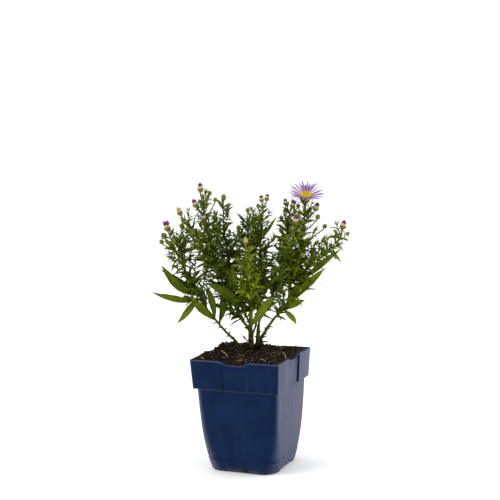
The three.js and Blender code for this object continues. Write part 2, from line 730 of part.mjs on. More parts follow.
// A direction that leaves a stem at a slant, turned about the stem.
function outward(direction, turn, slant) {
  const side = sideways(direction).applyAxisAngle(direction, turn);
  return direction.clone().multiplyScalar(Math.cos(slant)).addScaledVector(side, Math.sin(slant));
}

// A place on a line of points, at a share of the way from point to point.
function onLine(points, share) {
  const place = share * (points.length - 1);
  const i = Math.min(Math.floor(place), points.length - 2);
  return points[i].clone().lerp(points[i + 1], place - i);
}

// A sprout is a side shoot or a bud's stalk: a three-sided stem with knots. At a knot the
// stem's facets draw out into narrow leaves, and its end is blunt or opens into a bud.
function growSprout(leader, group, line, { knots, firstSide, bud, leafSize, groups }) {
  const length = line[0].distanceTo(line.at(-1));
  const shares = [0, ...knots.flatMap(({ share }) => [share, share + KNOT / length]), 1];
  const points = shares.map((share) => onLine(line, Math.min(share, 1)));
  const sections = [
    ...tube(points, shares.map(() => SHOOT_RADIUS), 3, firstSide),
    ...(bud ?? []),
  ];
  const vertices = sections.flat();
  let count = 0;
  const rings = sections.map((section) => section.map(() => count++));
  const beads = beadsAlong([onLine(points.slice(0, 2), 0.5), ...points.slice(1)], SHOOT_RADIUS);
  const triangles = [...fan(rings[0].toReversed()), ...fan(rings.at(-1))];
  rings.slice(1).forEach((places, i) => {
    const band = bridge(rings[i], places);
    const knot = i % 2 === 1 ? knots[(i - 1) / 2] : undefined;
    if (!knot) {
      triangles.push(...band);
      return;
    }
    const along = points[i + 1].clone().sub(points[i]).normalize();
    band.forEach((facet, place) => {
      const isBroad = place % 2 === 1;
      const turn = (Math.floor(place / 2) + 3 - (knot.turn % 3)) % 3;
      const reach = leafSize * knot.size;
      const leaf = isBroad
        ? broadLeaf(vertices, facet, along, reach)
        : needleLeaf(vertices, facet, along, reach * NEEDLE_REACH);
      const isWanted = turn < (isBroad ? knot.leaves : knot.needles);
      if (!isWanted || isBlocked(leaf.beads, leader.stem, groups)) {
        triangles.push(facet);
        return;
      }
      vertices.push(...leaf.points);
      triangles.push(...leaf.triangles);
      beads.push(...leaf.beads);
    });
  });
  placePiece(leader, group, solidFrom(vertices, triangles), beads);
}

// A leaf that grows from one facet of a sprout, flat above and keeled from the facet's low
// corner to the tip.
function broadLeaf(vertices, [keel, right, left], along, length) {
  const root = vertices[left].clone().lerp(vertices[right], 0.5);
  const side = vertices[right].clone().sub(vertices[left]).normalize();
  const away = side.clone().cross(along).normalize();
  const heading = along.clone().multiplyScalar(Math.cos(LEAF_SLANT));
  heading.addScaledVector(away, Math.sin(LEAF_SLANT));
  const half = (length * LEAF_BREADTH) / 2;
  const middle = root.clone().addScaledVector(heading, length * 0.42);
  const tip = root.clone().addScaledVector(heading, length).addScaledVector(UP, -length * 0.06);
  const points = [
    middle.clone().addScaledVector(side, half),
    middle.clone().addScaledVector(side, -half),
    tip,
  ];
  const [outerRight, outerLeft, end] = [0, 1, 2].map((i) => vertices.length + i);
  const triangles = [
    [keel, right, outerRight], [keel, outerRight, end],
    [right, left, outerLeft], [right, outerLeft, outerRight], [outerRight, outerLeft, end],
    [left, keel, outerLeft], [outerLeft, keel, end],
  ];
  const beads = beadsAlong([root.clone().lerp(middle, 0.3), middle, tip], half * 0.8);
  return { points, triangles, beads };
}

// A needle-like leaf from the facet beside a broad one, standing further out.
function needleLeaf(vertices, [first, second, third], along, length) {
  const side = vertices[first].clone().sub(vertices[second]).normalize();
  const away = along.clone().cross(side).normalize().addScaledVector(side, 0.5).normalize();
  const heading = along.clone().multiplyScalar(Math.cos(NEEDLE_SLANT));
  heading.addScaledVector(away, Math.sin(NEEDLE_SLANT));
  const root = vertices[first].clone().add(vertices[second]).add(vertices[third]).divideScalar(3);
  const tip = root.clone().addScaledVector(heading, length);
  const end = vertices.length;
  const triangles = [[first, second, end], [second, third, end], [third, first, end]];
  return { points: [tip], triangles, beads: beadsAlong([onLine([root, tip], 0.3), tip], 0.5) };
}

// Rings of a bud's green cup: closed to a point, or flat-topped where petals show above it.
function budCup(centre, axis, radius, isClosed, side) {
  const heights = isClosed ? [-0.95, -0.1, 0.65] : [-0.95, -0.1, 0.75];
  const sizes = isClosed ? [0.5, 1, 0.75] : [0.5, 1, 0.86];
  const points = heights.map((height) => centre.clone().addScaledVector(axis, height * radius));
  const rings = tube(points, sizes.map((size) => size * radius), 6, side);
  return isClosed ? [...rings, [centre.clone().addScaledVector(axis, 1.3 * radius)]] : rings;
}

const petals = [];

function growBud([name, height, middle, radius, show], index) {
  const leader = leaders.get(name);
  const share = leader.shareAtHeight(height);
  const root = leader.point(share);
  const centre = at(middle);
  const foot = centre.clone().addScaledVector(UP, -radius);
  const bend = root.clone().lerp(foot, 0.5).addScaledVector(leader.direction(share), -1);
  const axis = foot.clone().sub(bend).normalize().lerp(UP, 0.5).normalize();
  const line = [root, bend, centre.clone().addScaledVector(axis, -radius * 1.15)];
  const firstSide = sideways(bend.clone().sub(root).normalize());
  const length = root.distanceTo(centre);
  const count = Math.min(2, Math.floor(length / 10));
  const knots = Array.from({ length: count }, (_, i) => ({
    share: (i + 0.7) / (count + 0.3),
    turn: i + index,
    leaves: 2,
    needles: 1,
    size: 0.8,
  }));
  const group = "bud " + index;
  const bud = budCup(centre, axis, radius, show === "none", firstSide);
  const groups = [leader.name, group];
  growSprout(leader, group, line, { knots, firstSide, bud, leafSize: SMALL_LEAF_HIGH, groups });
  const top = centre.clone().addScaledVector(axis, radius * 1.2);
  occupy(beadsAlong([centre, top], radius), leader.stem, group);
  if (show !== "none") petals.push({ centre, axis, radius, show });
}

// Leafy side shoots up each leader, a golden turn apart.
function growShoots(leader, order) {
  const count = Math.floor((leader.length - leader.leafyFrom) / SHOOT_SPACING);
  for (let i = 0; i < count; i++) {
    const share = (leader.leafyFrom + (i + 0.4) * SHOOT_SPACING) / leader.length;
    growShoot(leader, share, (order + i) * GOLDEN_TURN, order * 100 + i);
  }
}

// One side shoot, with its leaves and often a small bud. It turns until it has room.
function growShoot(leader, share, firstTurn, seed) {
  const start = leader.point(share);
  const size = between(SHOOT_LONG, SHOOT_SHORT, share) * between(0.8, 1.2, draw(seed));
  const group = "shoot " + seed;
  const groups = [leader.name, group];
  for (const shift of [0, 0.9, -0.9, 1.8, -1.8, 2.8]) {
    const heading = outward(leader.direction(share), firstTurn + shift, SHOOT_SLANT);
    const bend = start.clone().addScaledVector(heading, size * 0.5);
    const tip = bend.clone().addScaledVector(heading, size * 0.3).addScaledVector(UP, size * 0.25);
    const beads = beadsAlong([start.clone().lerp(bend, 0.4), bend, tip], SHOOT_RADIUS);
    if (isBlocked(beads, leader.stem, groups)) continue;
    const isBudded = draw(seed + 50) < SHOOT_BUDS;
    const count = Math.max(2, Math.round(size / KNOT_SPACING));
    const knots = Array.from({ length: count }, (_, i) => ({
      share: (i + 0.6) / (count + (isBudded ? 0.4 : 0)),
      turn: i * 2,
      leaves: i === 0 ? 1 : 3,
      needles: i === 0 ? 2 : 3,
      size: i === 0 ? SUBTENDING : 1,
    }));
    const down = sideways(heading).cross(heading).normalize();
    const firstSide = down.applyAxisAngle(heading, -Math.PI / 3);
    const bud = isBudded ? shootBud(bend, tip, seed, firstSide) : undefined;
    const leafSize = between(SMALL_LEAF_LOW, SMALL_LEAF_HIGH, share);
    growSprout(leader, group, [start, bend, tip], { knots, firstSide, bud, leafSize, groups });
    return;
  }
}

function shootBud(bend, tip, seed, side) {
  const radius = between(SMALL_BUD_LEAST, SMALL_BUD_MOST, draw(seed + 70));
  const axis = tip.clone().sub(bend).normalize();
  const spot = (height) => tip.clone().addScaledVector(axis, height * radius);
  const rings = tube([spot(0.5), spot(1.4)], [radius * 0.6, radius], 6, side);
  return [...rings, [spot(2.5)]];
}

// Petals that show above a bud's cup, as a furled tip or as a tuft about to open.
function budPetals({ centre, axis, radius, show }) {
  const level = (height, share) =>
    ring(centre.clone().addScaledVector(axis, height * radius), axis, share * radius, 6);
  const foot = 0.75 + FIT_GAP / radius;
  const tip = centre.clone().addScaledVector(axis, 2.1 * radius);
  const core = loft([level(foot, 0.8), level(foot + 0.4, 0.78), [tip]]);
  if (show === "tip") return core;
  const spikes = Array.from({ length: 6 }, (_, i) => {
    const side = sideways(axis).applyAxisAngle(axis, ((i + 0.5) / 6) * Math.PI * 2);
    const spot = (height, away) =>
      centre.clone().addScaledVector(axis, height * radius).addScaledVector(side, away * radius);
    const path = [spot(foot + 0.3, 0.45), spot(1.6, 0.85), spot(2.1, 1.15)];
    const face = axis.clone().addScaledVector(side, -1);
    return narrowBlade(path, 1.7, 0.8, face);
  });
  return wasm.Manifold.union([core, ...spikes]);
}

// Bloom, built round its own axis and then tilted to the front.

const bloomPlace = new THREE.Matrix4()
  .makeTranslation(at([BLOOM.right, BLOOM.front, BLOOM.up]))
  .multiply(new THREE.Matrix4().makeRotationX(BLOOM_TILT));

function placedLoft(sections) {
  return loft(sections.map((section) => section.map((p) => p.clone().applyMatrix4(bloomPlace))));
}

function level(radius, z, sides, turn = 0) {
  return ring(new THREE.Vector3(0, 0, z), UP, radius, sides, turn);
}

function bloomCup() {
  return placedLoft([level(1.4, -9, 10), level(4.2, -6, 10), level(5.4, -2.6, 10)]);
}

// The room that the bloom takes, for the shoots near it.
function bloomBeads() {
  const rims = [5, 9, 14, RAY_REACH].flatMap((distance) => {
    const height = -1.5 + (distance - 5) * Math.tan(RAY_LIFT);
    return beadsAlong(level(distance, height, 12), 1.6);
  });
  return rims.map(({ point, radius }) => ({ point: point.applyMatrix4(bloomPlace), radius }));
}

// Rays in two layers, drawn out of the facets of a ring-shaped hub's outer wall.
function bloomRays() {
  const levels = [[HUB_HOLE, -2.3], [HUB_RADIUS, -2.3], [HUB_RADIUS, -0.9], [HUB_HOLE, -0.9]];
  const vertices = levels.flatMap(([radius, z]) => level(radius, z, RAYS_A_LAYER));
  const rings = levels.map((_, row) =>
    Array.from({ length: RAYS_A_LAYER }, (_, i) => row * RAYS_A_LAYER + i),
  );
  const triangles = [0, 2, 3].flatMap((row) => bridge(rings[row], rings[(row + 1) % 4]));
  bridge(rings[1], rings[2]).forEach((facet, place) => {
    const middle = vertices.length;
    const outer = [middle, middle + 1, middle + 2];
    vertices.push(...bloomRay(place));
    triangles.push(...bridge(facet, outer), ...bridge(outer, [middle + 3]));
  });
  return solidFrom(vertices.map((p) => p.applyMatrix4(bloomPlace)), triangles);
}

// Three points round a ray where it is widest, and its tip. Even places belong to the lower
// layer, ridged above, and odd ones to the upper layer, keeled below. The hub's rings start
// half a turn round.
function bloomRay(place) {
  const isUpper = place % 2 === 1;
  const turn = ((place + 0.5) / RAYS_A_LAYER + 1) * Math.PI;
  const away = new THREE.Vector3(Math.cos(turn), Math.sin(turn), 0);
  const side = new THREE.Vector3(-Math.sin(turn), Math.cos(turn), 0);
  const reach = RAY_REACH * between(0.86, 1, draw(place));
  const lift = RAY_LIFT + (isUpper ? 0.09 : 0) + between(-0.04, 0.04, draw(place + 200));
  const spot = (distance, across, up) => {
    const z = (isUpper ? -1.1 : -2.1) + (distance - HUB_RADIUS) * Math.tan(lift) + up;
    return away.clone().multiplyScalar(distance).addScaledVector(side, across).setZ(z);
  };
  const wide = reach * 0.68;
  const [half, thickness] = [RAY_WIDTH / 2, RAY_THICKNESS];
  const section = isUpper
    ? [spot(wide, 0, -thickness), spot(wide, half, 0), spot(wide, -half, 0)]
    : [spot(wide, -half, 0), spot(wide, half, 0), spot(wide, 0, thickness)];
  return [...section, spot(reach, 0, 0)];
}

function bloomDisc() {
  const dome = placedLoft([
    level(HUB_HOLE - 0.4, -2.3, 8),
    level(HUB_HOLE - 0.4, -0.5, 8),
    level(DISC_RADIUS, -0.5, 16),
    level(DISC_RADIUS * 0.8, 1.1, 16),
    [new THREE.Vector3(0, 0, DISC_HEIGHT)],
  ]);
  const florets = Array.from({ length: DISC_FLORETS }, (_, i) => {
    const distance = DISC_RADIUS * 0.86 * Math.sqrt((i + 0.5) / DISC_FLORETS);
    const turn = i * GOLDEN_TURN;
    const height = DISC_HEIGHT - 0.035 * distance * distance;
    const centre = (z) => new THREE.Vector3(Math.cos(turn) * distance, Math.sin(turn) * distance, z);
    return placedLoft([
      ring(centre(height - 1), UP, 0.62, 4, turn),
      [centre(height + 0.75)],
    ]);
  });
  return wasm.Manifold.union([dome, ...florets]);
}

// Potting soil: fills the pot and is heaped above its rim, with crumbs on it.

function inPot(point) {
  return point.clone().applyAxisAngle(UP, PLANT_TURN).add(PLANT_ORIGIN);
}

const CROWN = inPot(at([0, -CROWN_BACK, 0]));

function soilHeight(x, y, seed) {
  const heaps = HEAPS.map((heap) => {
    const away = Math.hypot(x - heap.x, y - heap.y);
    return heap.rise * Math.exp(-((away / heap.reach) ** 2));
  });
  return heaps.reduce((height, rise) => height + rise, SOIL_LEVEL + (draw(seed) - 0.5) * 1.1);
}

function soilTopRow(edgeRow, share, seed) {
  return edgeRow.map((p, i) => {
    const x = between(CROWN.x * 0.8, p.x, share);
    const y = between(CROWN.y * 0.8, p.y, share);
    return new THREE.Vector3(x, y, soilHeight(x, y, seed + i));
  });
}

function makeSoil() {
  const { foot, top } = outerRimRows();
  const inset = WALL + FIT_GAP;
  const ledge = foot.z + WALL + 0.3 + FIT_GAP;
  const edgeShare = 1 - SOIL_BELOW_RIM / RIM_HEIGHT;
  const panelled = { points: 4, panel: PANEL_SINK };
  const edgeRow = {
    z: between(foot.z, top.z, edgeShare),
    half: between(foot.half, top.half, edgeShare) - FIT_GAP,
    corner: RIM_CORNER,
  };
  const edge = potRow(edgeRow, inset, { ...panelled, dip: RIM_DIP * edgeShare });
  const middle = [CROWN.x * 0.8, CROWN.y * 0.8];
  const rows = [
    [new THREE.Vector3(0, 0, FLOOR_TOP + FIT_GAP)],
    potRow({ ...BODY_ROWS[0], z: FLOOR_TOP + FIT_GAP }, inset + 0.2),
    potRow(BODY_ROWS[2], inset),
    potRow({ ...BODY_ROWS.at(-1), z: ledge }, inset, { points: 4 }),
    potRow({ ...foot, z: ledge }, inset, panelled),
    edge,
    soilTopRow(potRow(edgeRow, inset, { points: 4 }), 0.9, 1000),
    soilTopRow(potRow(edgeRow, inset), 0.5, 1100),
    [new THREE.Vector3(...middle, soilHeight(...middle, 1200))],
  ];
  const scattered = wasm.Manifold.union([loft(rows, { isVessel: true }), ...soilCrumbs()]);
  return scattered.subtract(stemHoles());
}

function soilCrumbs() {
  const crumbs = [];
  for (let i = 0; i < CRUMBS; i++) {
    const distance = between(CRUMBS_FROM, CRUMBS_TO, draw(i + 500));
    const turn = i * GOLDEN_TURN;
    const x = Math.cos(turn) * distance;
    const y = Math.sin(turn) * distance;
    if (Math.hypot(x - CROWN.x, y - CROWN.y) < CROWN_CLEAR) continue;
    const geometry = new THREE.OctahedronGeometry(between(1.3, 2.3, draw(i + 600)));
    geometry.rotateX(draw(i + 700) * 3).rotateZ(turn);
    geometry.translate(x, y, soilHeight(x, y, 0.5) + 0.4);
    crumbs.push(solidOfGeometry(geometry));
  }
  return crumbs;
}

function stemHoles() {
  const holes = rooted.map((leader) => {
    const sections = leaderSections(leader, STEM_GAP + leader.flare * 0.1, 26 / leader.length);
    return loft(sections.map((section) => section.map(inPot)));
  });
  return wasm.Manifold.union(holes);
}

// Assembly

const plastic = finish("#1c3260", 0.42);
const peat = finish("#2b2017", 0.95);
const leafGreen = finish("#4d6a14", 0.6);
const rayViolet = finish("#b3a0de", 0.55);
const discYellow = finish("#dcb80f", 0.75);
const budViolet = finish("#7d4a97", 0.6);

leaders.forEach(growLeader);
LARGE_LEAVES.forEach(growLargeLeaf);
BUDS.forEach(growBud);
placePiece(leaders.get("right"), "bloom", bloomCup(), bloomBeads());
[...leaders.values()].forEach(growShoots);

const plant = new THREE.Group();
plant.rotation.z = PLANT_TURN;
plant.position.copy(PLANT_ORIGIN);
for (const stem of stemNames) {
  plant.add(meshOf("leafy_stem_" + stem, wasm.Manifold.union(pieces.get(stem)), leafGreen));
}
plant.add(meshOf("bloom_rays", bloomRays(), rayViolet));
plant.add(meshOf("bloom_disc", bloomDisc(), discYellow));
petals.forEach((bud, index) => {
  const name = "bud_petals_" + String(index + 1).padStart(2, "0");
  plant.add(meshOf(name, budPetals(bud), budViolet));
});

const group = new THREE.Group();
group.add(meshOf("pot", makePot(), plastic));
group.add(meshOf("potting_soil", makeSoil(), peat));
group.add(plant);

export default group;
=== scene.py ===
# Looks of a potted woods purple aster: a bushy young plant in a square nursery pot. Places are
# in millimetres until a mesh is made. A plant place is [right, front, up] as seen from the
# photographed side, and a pot place is [x, y, z].
import json
import math

import bmesh
import bpy
import numpy as np
from mathutils import Matrix, Vector, noise

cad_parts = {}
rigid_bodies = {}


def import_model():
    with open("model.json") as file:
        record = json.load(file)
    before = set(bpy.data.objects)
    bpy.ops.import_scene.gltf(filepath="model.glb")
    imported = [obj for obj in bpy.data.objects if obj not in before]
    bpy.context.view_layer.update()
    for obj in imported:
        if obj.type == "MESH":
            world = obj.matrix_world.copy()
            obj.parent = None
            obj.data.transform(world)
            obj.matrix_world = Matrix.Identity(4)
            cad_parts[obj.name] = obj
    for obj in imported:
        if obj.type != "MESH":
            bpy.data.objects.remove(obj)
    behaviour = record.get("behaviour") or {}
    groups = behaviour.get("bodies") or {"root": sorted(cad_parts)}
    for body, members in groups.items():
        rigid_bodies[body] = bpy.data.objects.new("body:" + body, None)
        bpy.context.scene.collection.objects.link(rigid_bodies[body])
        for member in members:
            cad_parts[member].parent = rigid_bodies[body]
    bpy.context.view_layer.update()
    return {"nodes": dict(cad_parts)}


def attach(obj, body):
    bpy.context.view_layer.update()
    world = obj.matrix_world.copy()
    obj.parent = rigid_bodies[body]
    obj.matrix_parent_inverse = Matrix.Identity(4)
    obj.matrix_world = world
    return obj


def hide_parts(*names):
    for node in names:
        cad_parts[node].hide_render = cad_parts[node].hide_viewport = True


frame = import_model()

MM = 0.001
UP = np.array([0.0, 0.0, 1.0])
PLANT_TURN = math.radians(22.7)
PLANT_ORIGIN = (0.6, 0.2, 2.0)  # in the pot's frame
RIGHT = np.array([math.cos(PLANT_TURN), math.sin(PLANT_TURN), 0.0])
FRONT = np.array([math.sin(PLANT_TURN), -math.cos(PLANT_TURN), 0.0])
GOLDEN_TURN = math.radians(137.5)

# Camera, fitted to the pot's rim and base
CAMERA_PLACE = (476.83, -1134.89, 377.06)
CAMERA_AZIMUTH = math.radians(22.731)
CAMERA_ELEVATION = math.radians(6.077)
CAMERA_ROLL = math.radians(-1.327)
CAMERA_LENS = 79.2
CAMERA_SENSOR = 36.0

# Pot
POT_HEIGHT = 128.0
RIM_FOOT = 95.0
RIM_FOOT_HALF = 51.2
RIM_TOP_HALF = 53.2
RIM_CORNER = 3.0
WALL = 1.5
FLOOR_TOP = 7.0
SKIRT_ROOF = 5.0
SKIRT_WALL = 2.2
SIDE_LIFT = 1.2
BOSS_RADIUS = 12.0
BODY_ROWS = [  # height, half width, corner radius
    (0, 39.4, 17.5), (4, 40.8, 18), (14, 42.7, 16), (36, 45.3, 12), (61, 47, 9.5), (95, 48.6, 8),
]
BAND_TOP = 13.8
BAND_STEP = 0.25
STRIP_TOP = 2.6
STRIP_SINK = 0.8
STRIP_EDGE = (18.2, 19)  # distances from a face's middle between which a form fades out
PANEL_EDGE = (14.2, 15.0)
DIP_EDGE = (8.5, 18.5)
LIFT_EDGE = (14.8, 17.8)
PANEL_SINK = 2.0
LIP_SCOOP = 1.1
RIM_DIP = 4.5
CORE = 0.3
BODY_HEIGHTS = [
    1.2, 2.4, 2.75, 4, 6, 9, 13.3, 13.7, 14, 17, 22, 28, 36, 44, 52, 61, 71, 81, 89, 93.6,
]
RIM_SHARES = [0.014, 0.04, 0.15, 0.3, 0.45, 0.6, 0.72, 0.8, 0.86, 0.9, 0.94, 0.97, 0.985]
DRAIN_SIDE = 6.7
DRAIN_HALF = 2.8
DRAIN_HEIGHT = 4.8
DRAIN_ARCH = 2.2
DRAIN_REACH = (-42, -33.5)
FACE_MARKS = [0, 3, 6, 9, 12, 14.0, 14.35, 14.75, 15.15, 16.2, 18.5, 20, 21]  # from its middle
STEP_SPAN = (13, 15.5)  # marks between which a wall of a panel stands
LEDGE_SPAN = 0.3
LIP_ROWS = (19, 10)  # counted from the last row of the pot
ARC_POINTS = 7

# Soil
FIT_GAP = 0.3
SOIL_BELOW_RIM = 1.2
SOIL_LEVEL = 127.2
HEAPS = [  # x, y, rise, reach
    (-46, 20, 5.8, 24), (-46, -28, 4.4, 22), (4, 46, 1.6, 30), (-7, 16, 3.4, 20),
]
SOIL_MIDDLE = (-5.1, 13.4)
SOIL_HALF = 51.3
SOIL_HEIGHTS = (FLOOR_TOP + FIT_GAP, 36, 61, 92, RIM_FOOT + 1.5)
SOIL_SHARES = (0.985, 0.97, 0.955, 0.94, 0.92, 0.9, 0.88, *np.linspace(0.86, 0.02, 42))
CRUMBS = 1300
CRUMB_REACH = 47.5
STRAWS = 120
STRAW_REACH = 44
STEM_FOOT = (-7, 17, 14)  # x, y, radius of the place without straws
STRAW_PLACES = [  # from, to, radius
    ((-15.3, -29.7, 128.0), (-26.5, -24, 134.0), 0.42),
    ((48, -15, 127.4), (36, 6, 130.2), 0.4),
    ((-44, -45, 129.2), (-36, -47, 128.2), 0.35),
    ((22, -30, 128.2), (33, -38, 128.2), 0.3),
    ((2, -40, 127.4), (14, -44, 126.8), 0.32),
]

# Leaders: name, parent, height of the fork, radii, bare length, tone, route
LEADERS = [
    ("left", None, 0, (1.8, 0.7), 78, 0.5,
     [(-13, -14, 130), (-19, -12, 139), (-30, -8, 151), (-44, -3, 170), (-54, 0, 185),
      (-64, 4, 210), (-74, 6, 226), (-82, 8, 244), (-90, 10, 267)]),
    ("left_inner", "left", 227, (1.1, 0.7), 8, 0.5,
     [(-77, 3, 243), (-77, 0, 256), (-76, -3, 268)]),
    ("centre", None, 0, (2.1, 0.7), 52, 0.45,
     [(0, -12, 131), (0, -9, 145), (-4, -6, 155), (-11, -3, 165), (-21, 0, 188),
      (-32, 2, 211), (-41, 4, 240), (-48, 4, 274), (-53, 4, 309)]),
    ("centre_back", "centre", 160, (1.3, 0.7), 12, 0.35,
     [(-17, -12, 186), (-23, -18, 220), (-28, -20, 260), (-29, -20, 298)]),
    ("centre_outer", "centre", 210, (1.2, 0.7), 14, 0.55,
     [(-45, 9, 232), (-56, 13, 252), (-62, 14, 261)]),
    ("plume", "centre", 146, (1.6, 0.8), 26, 0.74,
     [(1, 0, 170), (0, 10, 188), (-1, 21, 208), (-3, 30, 234), (-4, 36, 252)]),
    ("centre_right", "centre", 144, (1.5, 0.8), 30, 0.5,
     [(5, -8, 156), (8, -8, 174), (10, -8, 197), (12, -8, 229), (13, -6, 260), (17, -5, 294)]),
    ("right", None, 0, (2.0, 0.9), 84, 0.52,
     [(8, -15, 131), (9, -14, 137), (14, -10, 146), (26, -6, 164), (40, -2, 180),
      (47, 0, 209), (54, 2, 237), (61, 1, 268), (64.8, -1.2, 297.4)]),
    ("right_front", "right", 188, (1.3, 0.8), 12, 0.6,
     [(44, 8, 210), (46, 12, 231), (49, 14, 256), (51, 14, 270)]),
    ("right_back", "right", 206, (1.3, 0.8), 12, 0.48,
     [(45, -7, 231), (44, -12, 253), (44, -12, 274), (48, -12, 288)]),
    ("right_arm", "right", 177, (1.6, 0.8), 16, 0.6,
     [(53, 2, 203), (68, 5, 229), (88, 8, 243), (100, 8, 255), (104, 8, 265)]),
    ("thin", "right", 135, (1.3, 0.7), 50, 0.4,
     [(9, -20, 146), (9, -26, 163), (7, -34, 194), (2, -38, 228), (-1, -40, 257),
      (-1, -42, 282)]),
    ("thin_fork", "thin", 228, (0.9, 0.6), 8, 0.4,
     [(-6, -46, 249), (-11, -48, 261)]),
    ("back_left", None, 0, (1.7, 0.8), 50, 0.4,
     [(1, -27, 130), (0, -30, 148), (-7, -36, 166), (-19, -43, 186), (-27, -50, 205),
      (-34, -58, 240), (-38, -60, 270)]),
    ("back_left_fork", "back_left", 192, (1.2, 0.7), 14, 0.4,
     [(-38, -46, 222), (-50, -42, 248)]),
    ("back_middle", None, 0, (1.7, 0.8), 46, 0.4,
     [(-2, -31, 129), (-2, -39, 152), (2, -53, 180), (6, -68, 212), (8, -76, 242)]),
    ("back_middle_fork", "back_middle", 186, (1.2, 0.7), 12, 0.4,
     [(-9, -68, 215), (-15, -73, 238)]),
    ("back_right", None, 0, (1.7, 0.8), 50, 0.4,
     [(6, -28, 130), (8, -32, 150), (14, -38, 168), (26, -46, 186), (36, -53, 208),
      (44, -59, 240), (48, -60, 266)]),
    ("back_right_fork", "back_right", 190, (1.2, 0.7), 14, 0.4,
     [(44, -42, 215), (57, -38, 240), (63, -36, 260)]),
    ("centre_far", "centre_outer", 236, (1.0, 0.7), 8, 0.6,
     [(-55, 8, 259), (-62, 6, 269), (-69, 4, 277), (-75, 2, 282)]),
]

# Large leaves: leader, height of the root, tip, width, bow of the middle, way the upper face
# looks, tone
LARGE_LEAVES = [
    ("left", 194, (-99, 11, 231), 10.5, (-2, 0, -6), (0, 1, 0.5), 0.45),
    ("left", 199, (-101, 3, 225), 7, (0, 0, -1), (0, 1, 0.7), 0.4),
    ("left", 190, (-111, 6, 200), 8, (0, 0, -5), (0.1, 1, 0.6), 0.55),
    ("left", 195, (-83, 17, 165), 7.8, (1.5, 0, -1), (-0.3, 1, 0.3), 0.5),
    ("left", 160, (-32, 9, 201), 8.5, (3, 0, 0), (0.3, 1, 0), 0.3),
    ("left", 164, (-68, 15, 197), 9.5, (-2, 0, -1), (0, 1, 0.5), 0.6),
    ("left", 178, (-62, -30, 200), 8, (0, 0, 4), (-0.4, -0.6, 1), 0.4),
    ("plume", 172, (-48, 30, 211), 13, (0, 0, 3), (0.3, 1, 0.6), 0.38),
    ("centre", 166, (-23, 13, 166), 7, (0, 0, 2), (0, 0.6, 1), 0.6),
    ("centre", 196, (-54, -18, 222), 7, (0, 0, 3), (0, -0.5, 1), 0.35),
    ("centre", 188, (-20, 22, 231), 11, (2, 0, 0), (-0.2, 1, 0), 0.35),
    ("plume", 157, (25, 28, 194), 11.5, (0, 8, 2), (0, 1, 0.6), 0.66),
    ("plume", 186, (12, 44, 204), 6, (0, 0, 3), (0, 0.5, 1), 0.6),
    ("right", 180, (84, 15, 224), 9.5, (0, 0, 0), (-0.3, 1, 0.4), 0.6),
    ("right", 176, (61, 9, 187), 9.5, (0, 0, 0), (0, 1, 0.6), 0.68),
    ("right", 175, (51, 7, 159), 7.2, (1.5, 0, 0), (0.4, 1, 0.3), 0.68),
    ("right", 184, (66, -36, 204), 8, (0, 0, 4), (0.4, -0.6, 1), 0.4),
    ("right_arm", 206, (103, 12, 245), 6.8, (0, 0, 0), (-0.3, 1, 0.5), 0.62),
    ("right_arm", 243, (102, 13, 229), 4.5, (0, 0, 1), (0.3, 1, 0.3), 0.7),
    ("right_arm", 243, (81, 11, 258), 4, (0, 0, 1), (0.5, 1, 0), 0.5),
    ("right_arm", 256, (94, 10, 266), 3, (0, 0, 1), (0.3, 1, 0), 0.6),
    ("right_arm", 256, (111, 10, 252), 2.6, (0, 0, 1), (0, 1, 0.5), 0.6),
    ("centre_right", 252, (32, -2, 281), 3.6, (0, 0, 1), (-0.3, 1, 0.2), 0.55),
    ("centre_right", 190, (34, 8, 214), 6, (0, 0, 3), (-0.2, 1, 0.5), 0.4),
    ("thin", 268, (-14, -44, 283), 3.2, (0, 0, 1), (0.4, 1, 0), 0.5),
    ("thin", 180, (22, -58, 206), 7, (0, 0, 3), (0.3, -0.6, 1), 0.4),
    ("right_back", 262, (30, -8, 271), 3.4, (0, 0, 2), (0, 1, 0.5), 0.5),
    ("right_back", 250, (26, -6, 258), 3.6, (0, 0, 2), (0, 1, 0.5), 0.5),
    ("back_left", 160, (-44, -62, 182), 9, (0, 0, 5), (-0.3, -0.6, 1), 0.45),
    ("back_left", 172, (-8, -74, 196), 8, (0, 0, 5), (0.1, -1, 1), 0.5),
    ("back_left", 186, (-64, -58, 206), 8, (0, 0, 4), (-0.4, -0.6, 1), 0.5),
    ("back_middle", 160, (14, -84, 176), 9, (0, 0, 5), (0.2, -1, 1), 0.5),
    ("back_middle", 176, (-22, -94, 200), 8, (0, 0, 4), (-0.2, -1, 1), 0.5),
    ("back_right", 160, (44, -62, 178), 9, (0, 0, 5), (0.4, -0.6, 1), 0.5),
    ("back_right", 176, (68, -58, 196), 8, (0, 0, 4), (0.4, -0.4, 1), 0.5),
    ("back_right", 190, (28, -84, 216), 8, (0, 0, 4), (0, -1, 1), 0.45),
    ("left", 166, (-48, 6, 205), 8, (1, 0, 0), (0.3, 1, 0), 0.45),
    ("centre", 176, (-45, -4, 185), 5.5, (0, 0, -2), (0, 1, 0.6), 0.3),
    ("right_arm", 256, (86, 10, 257), 3, (0, 0, 1), (0, 1, 0.5), 0.5),
    ("right_back", 244, (36, 2, 268), 3.2, (0, 0, 1), (0, 1, 0.4), 0.5),
]

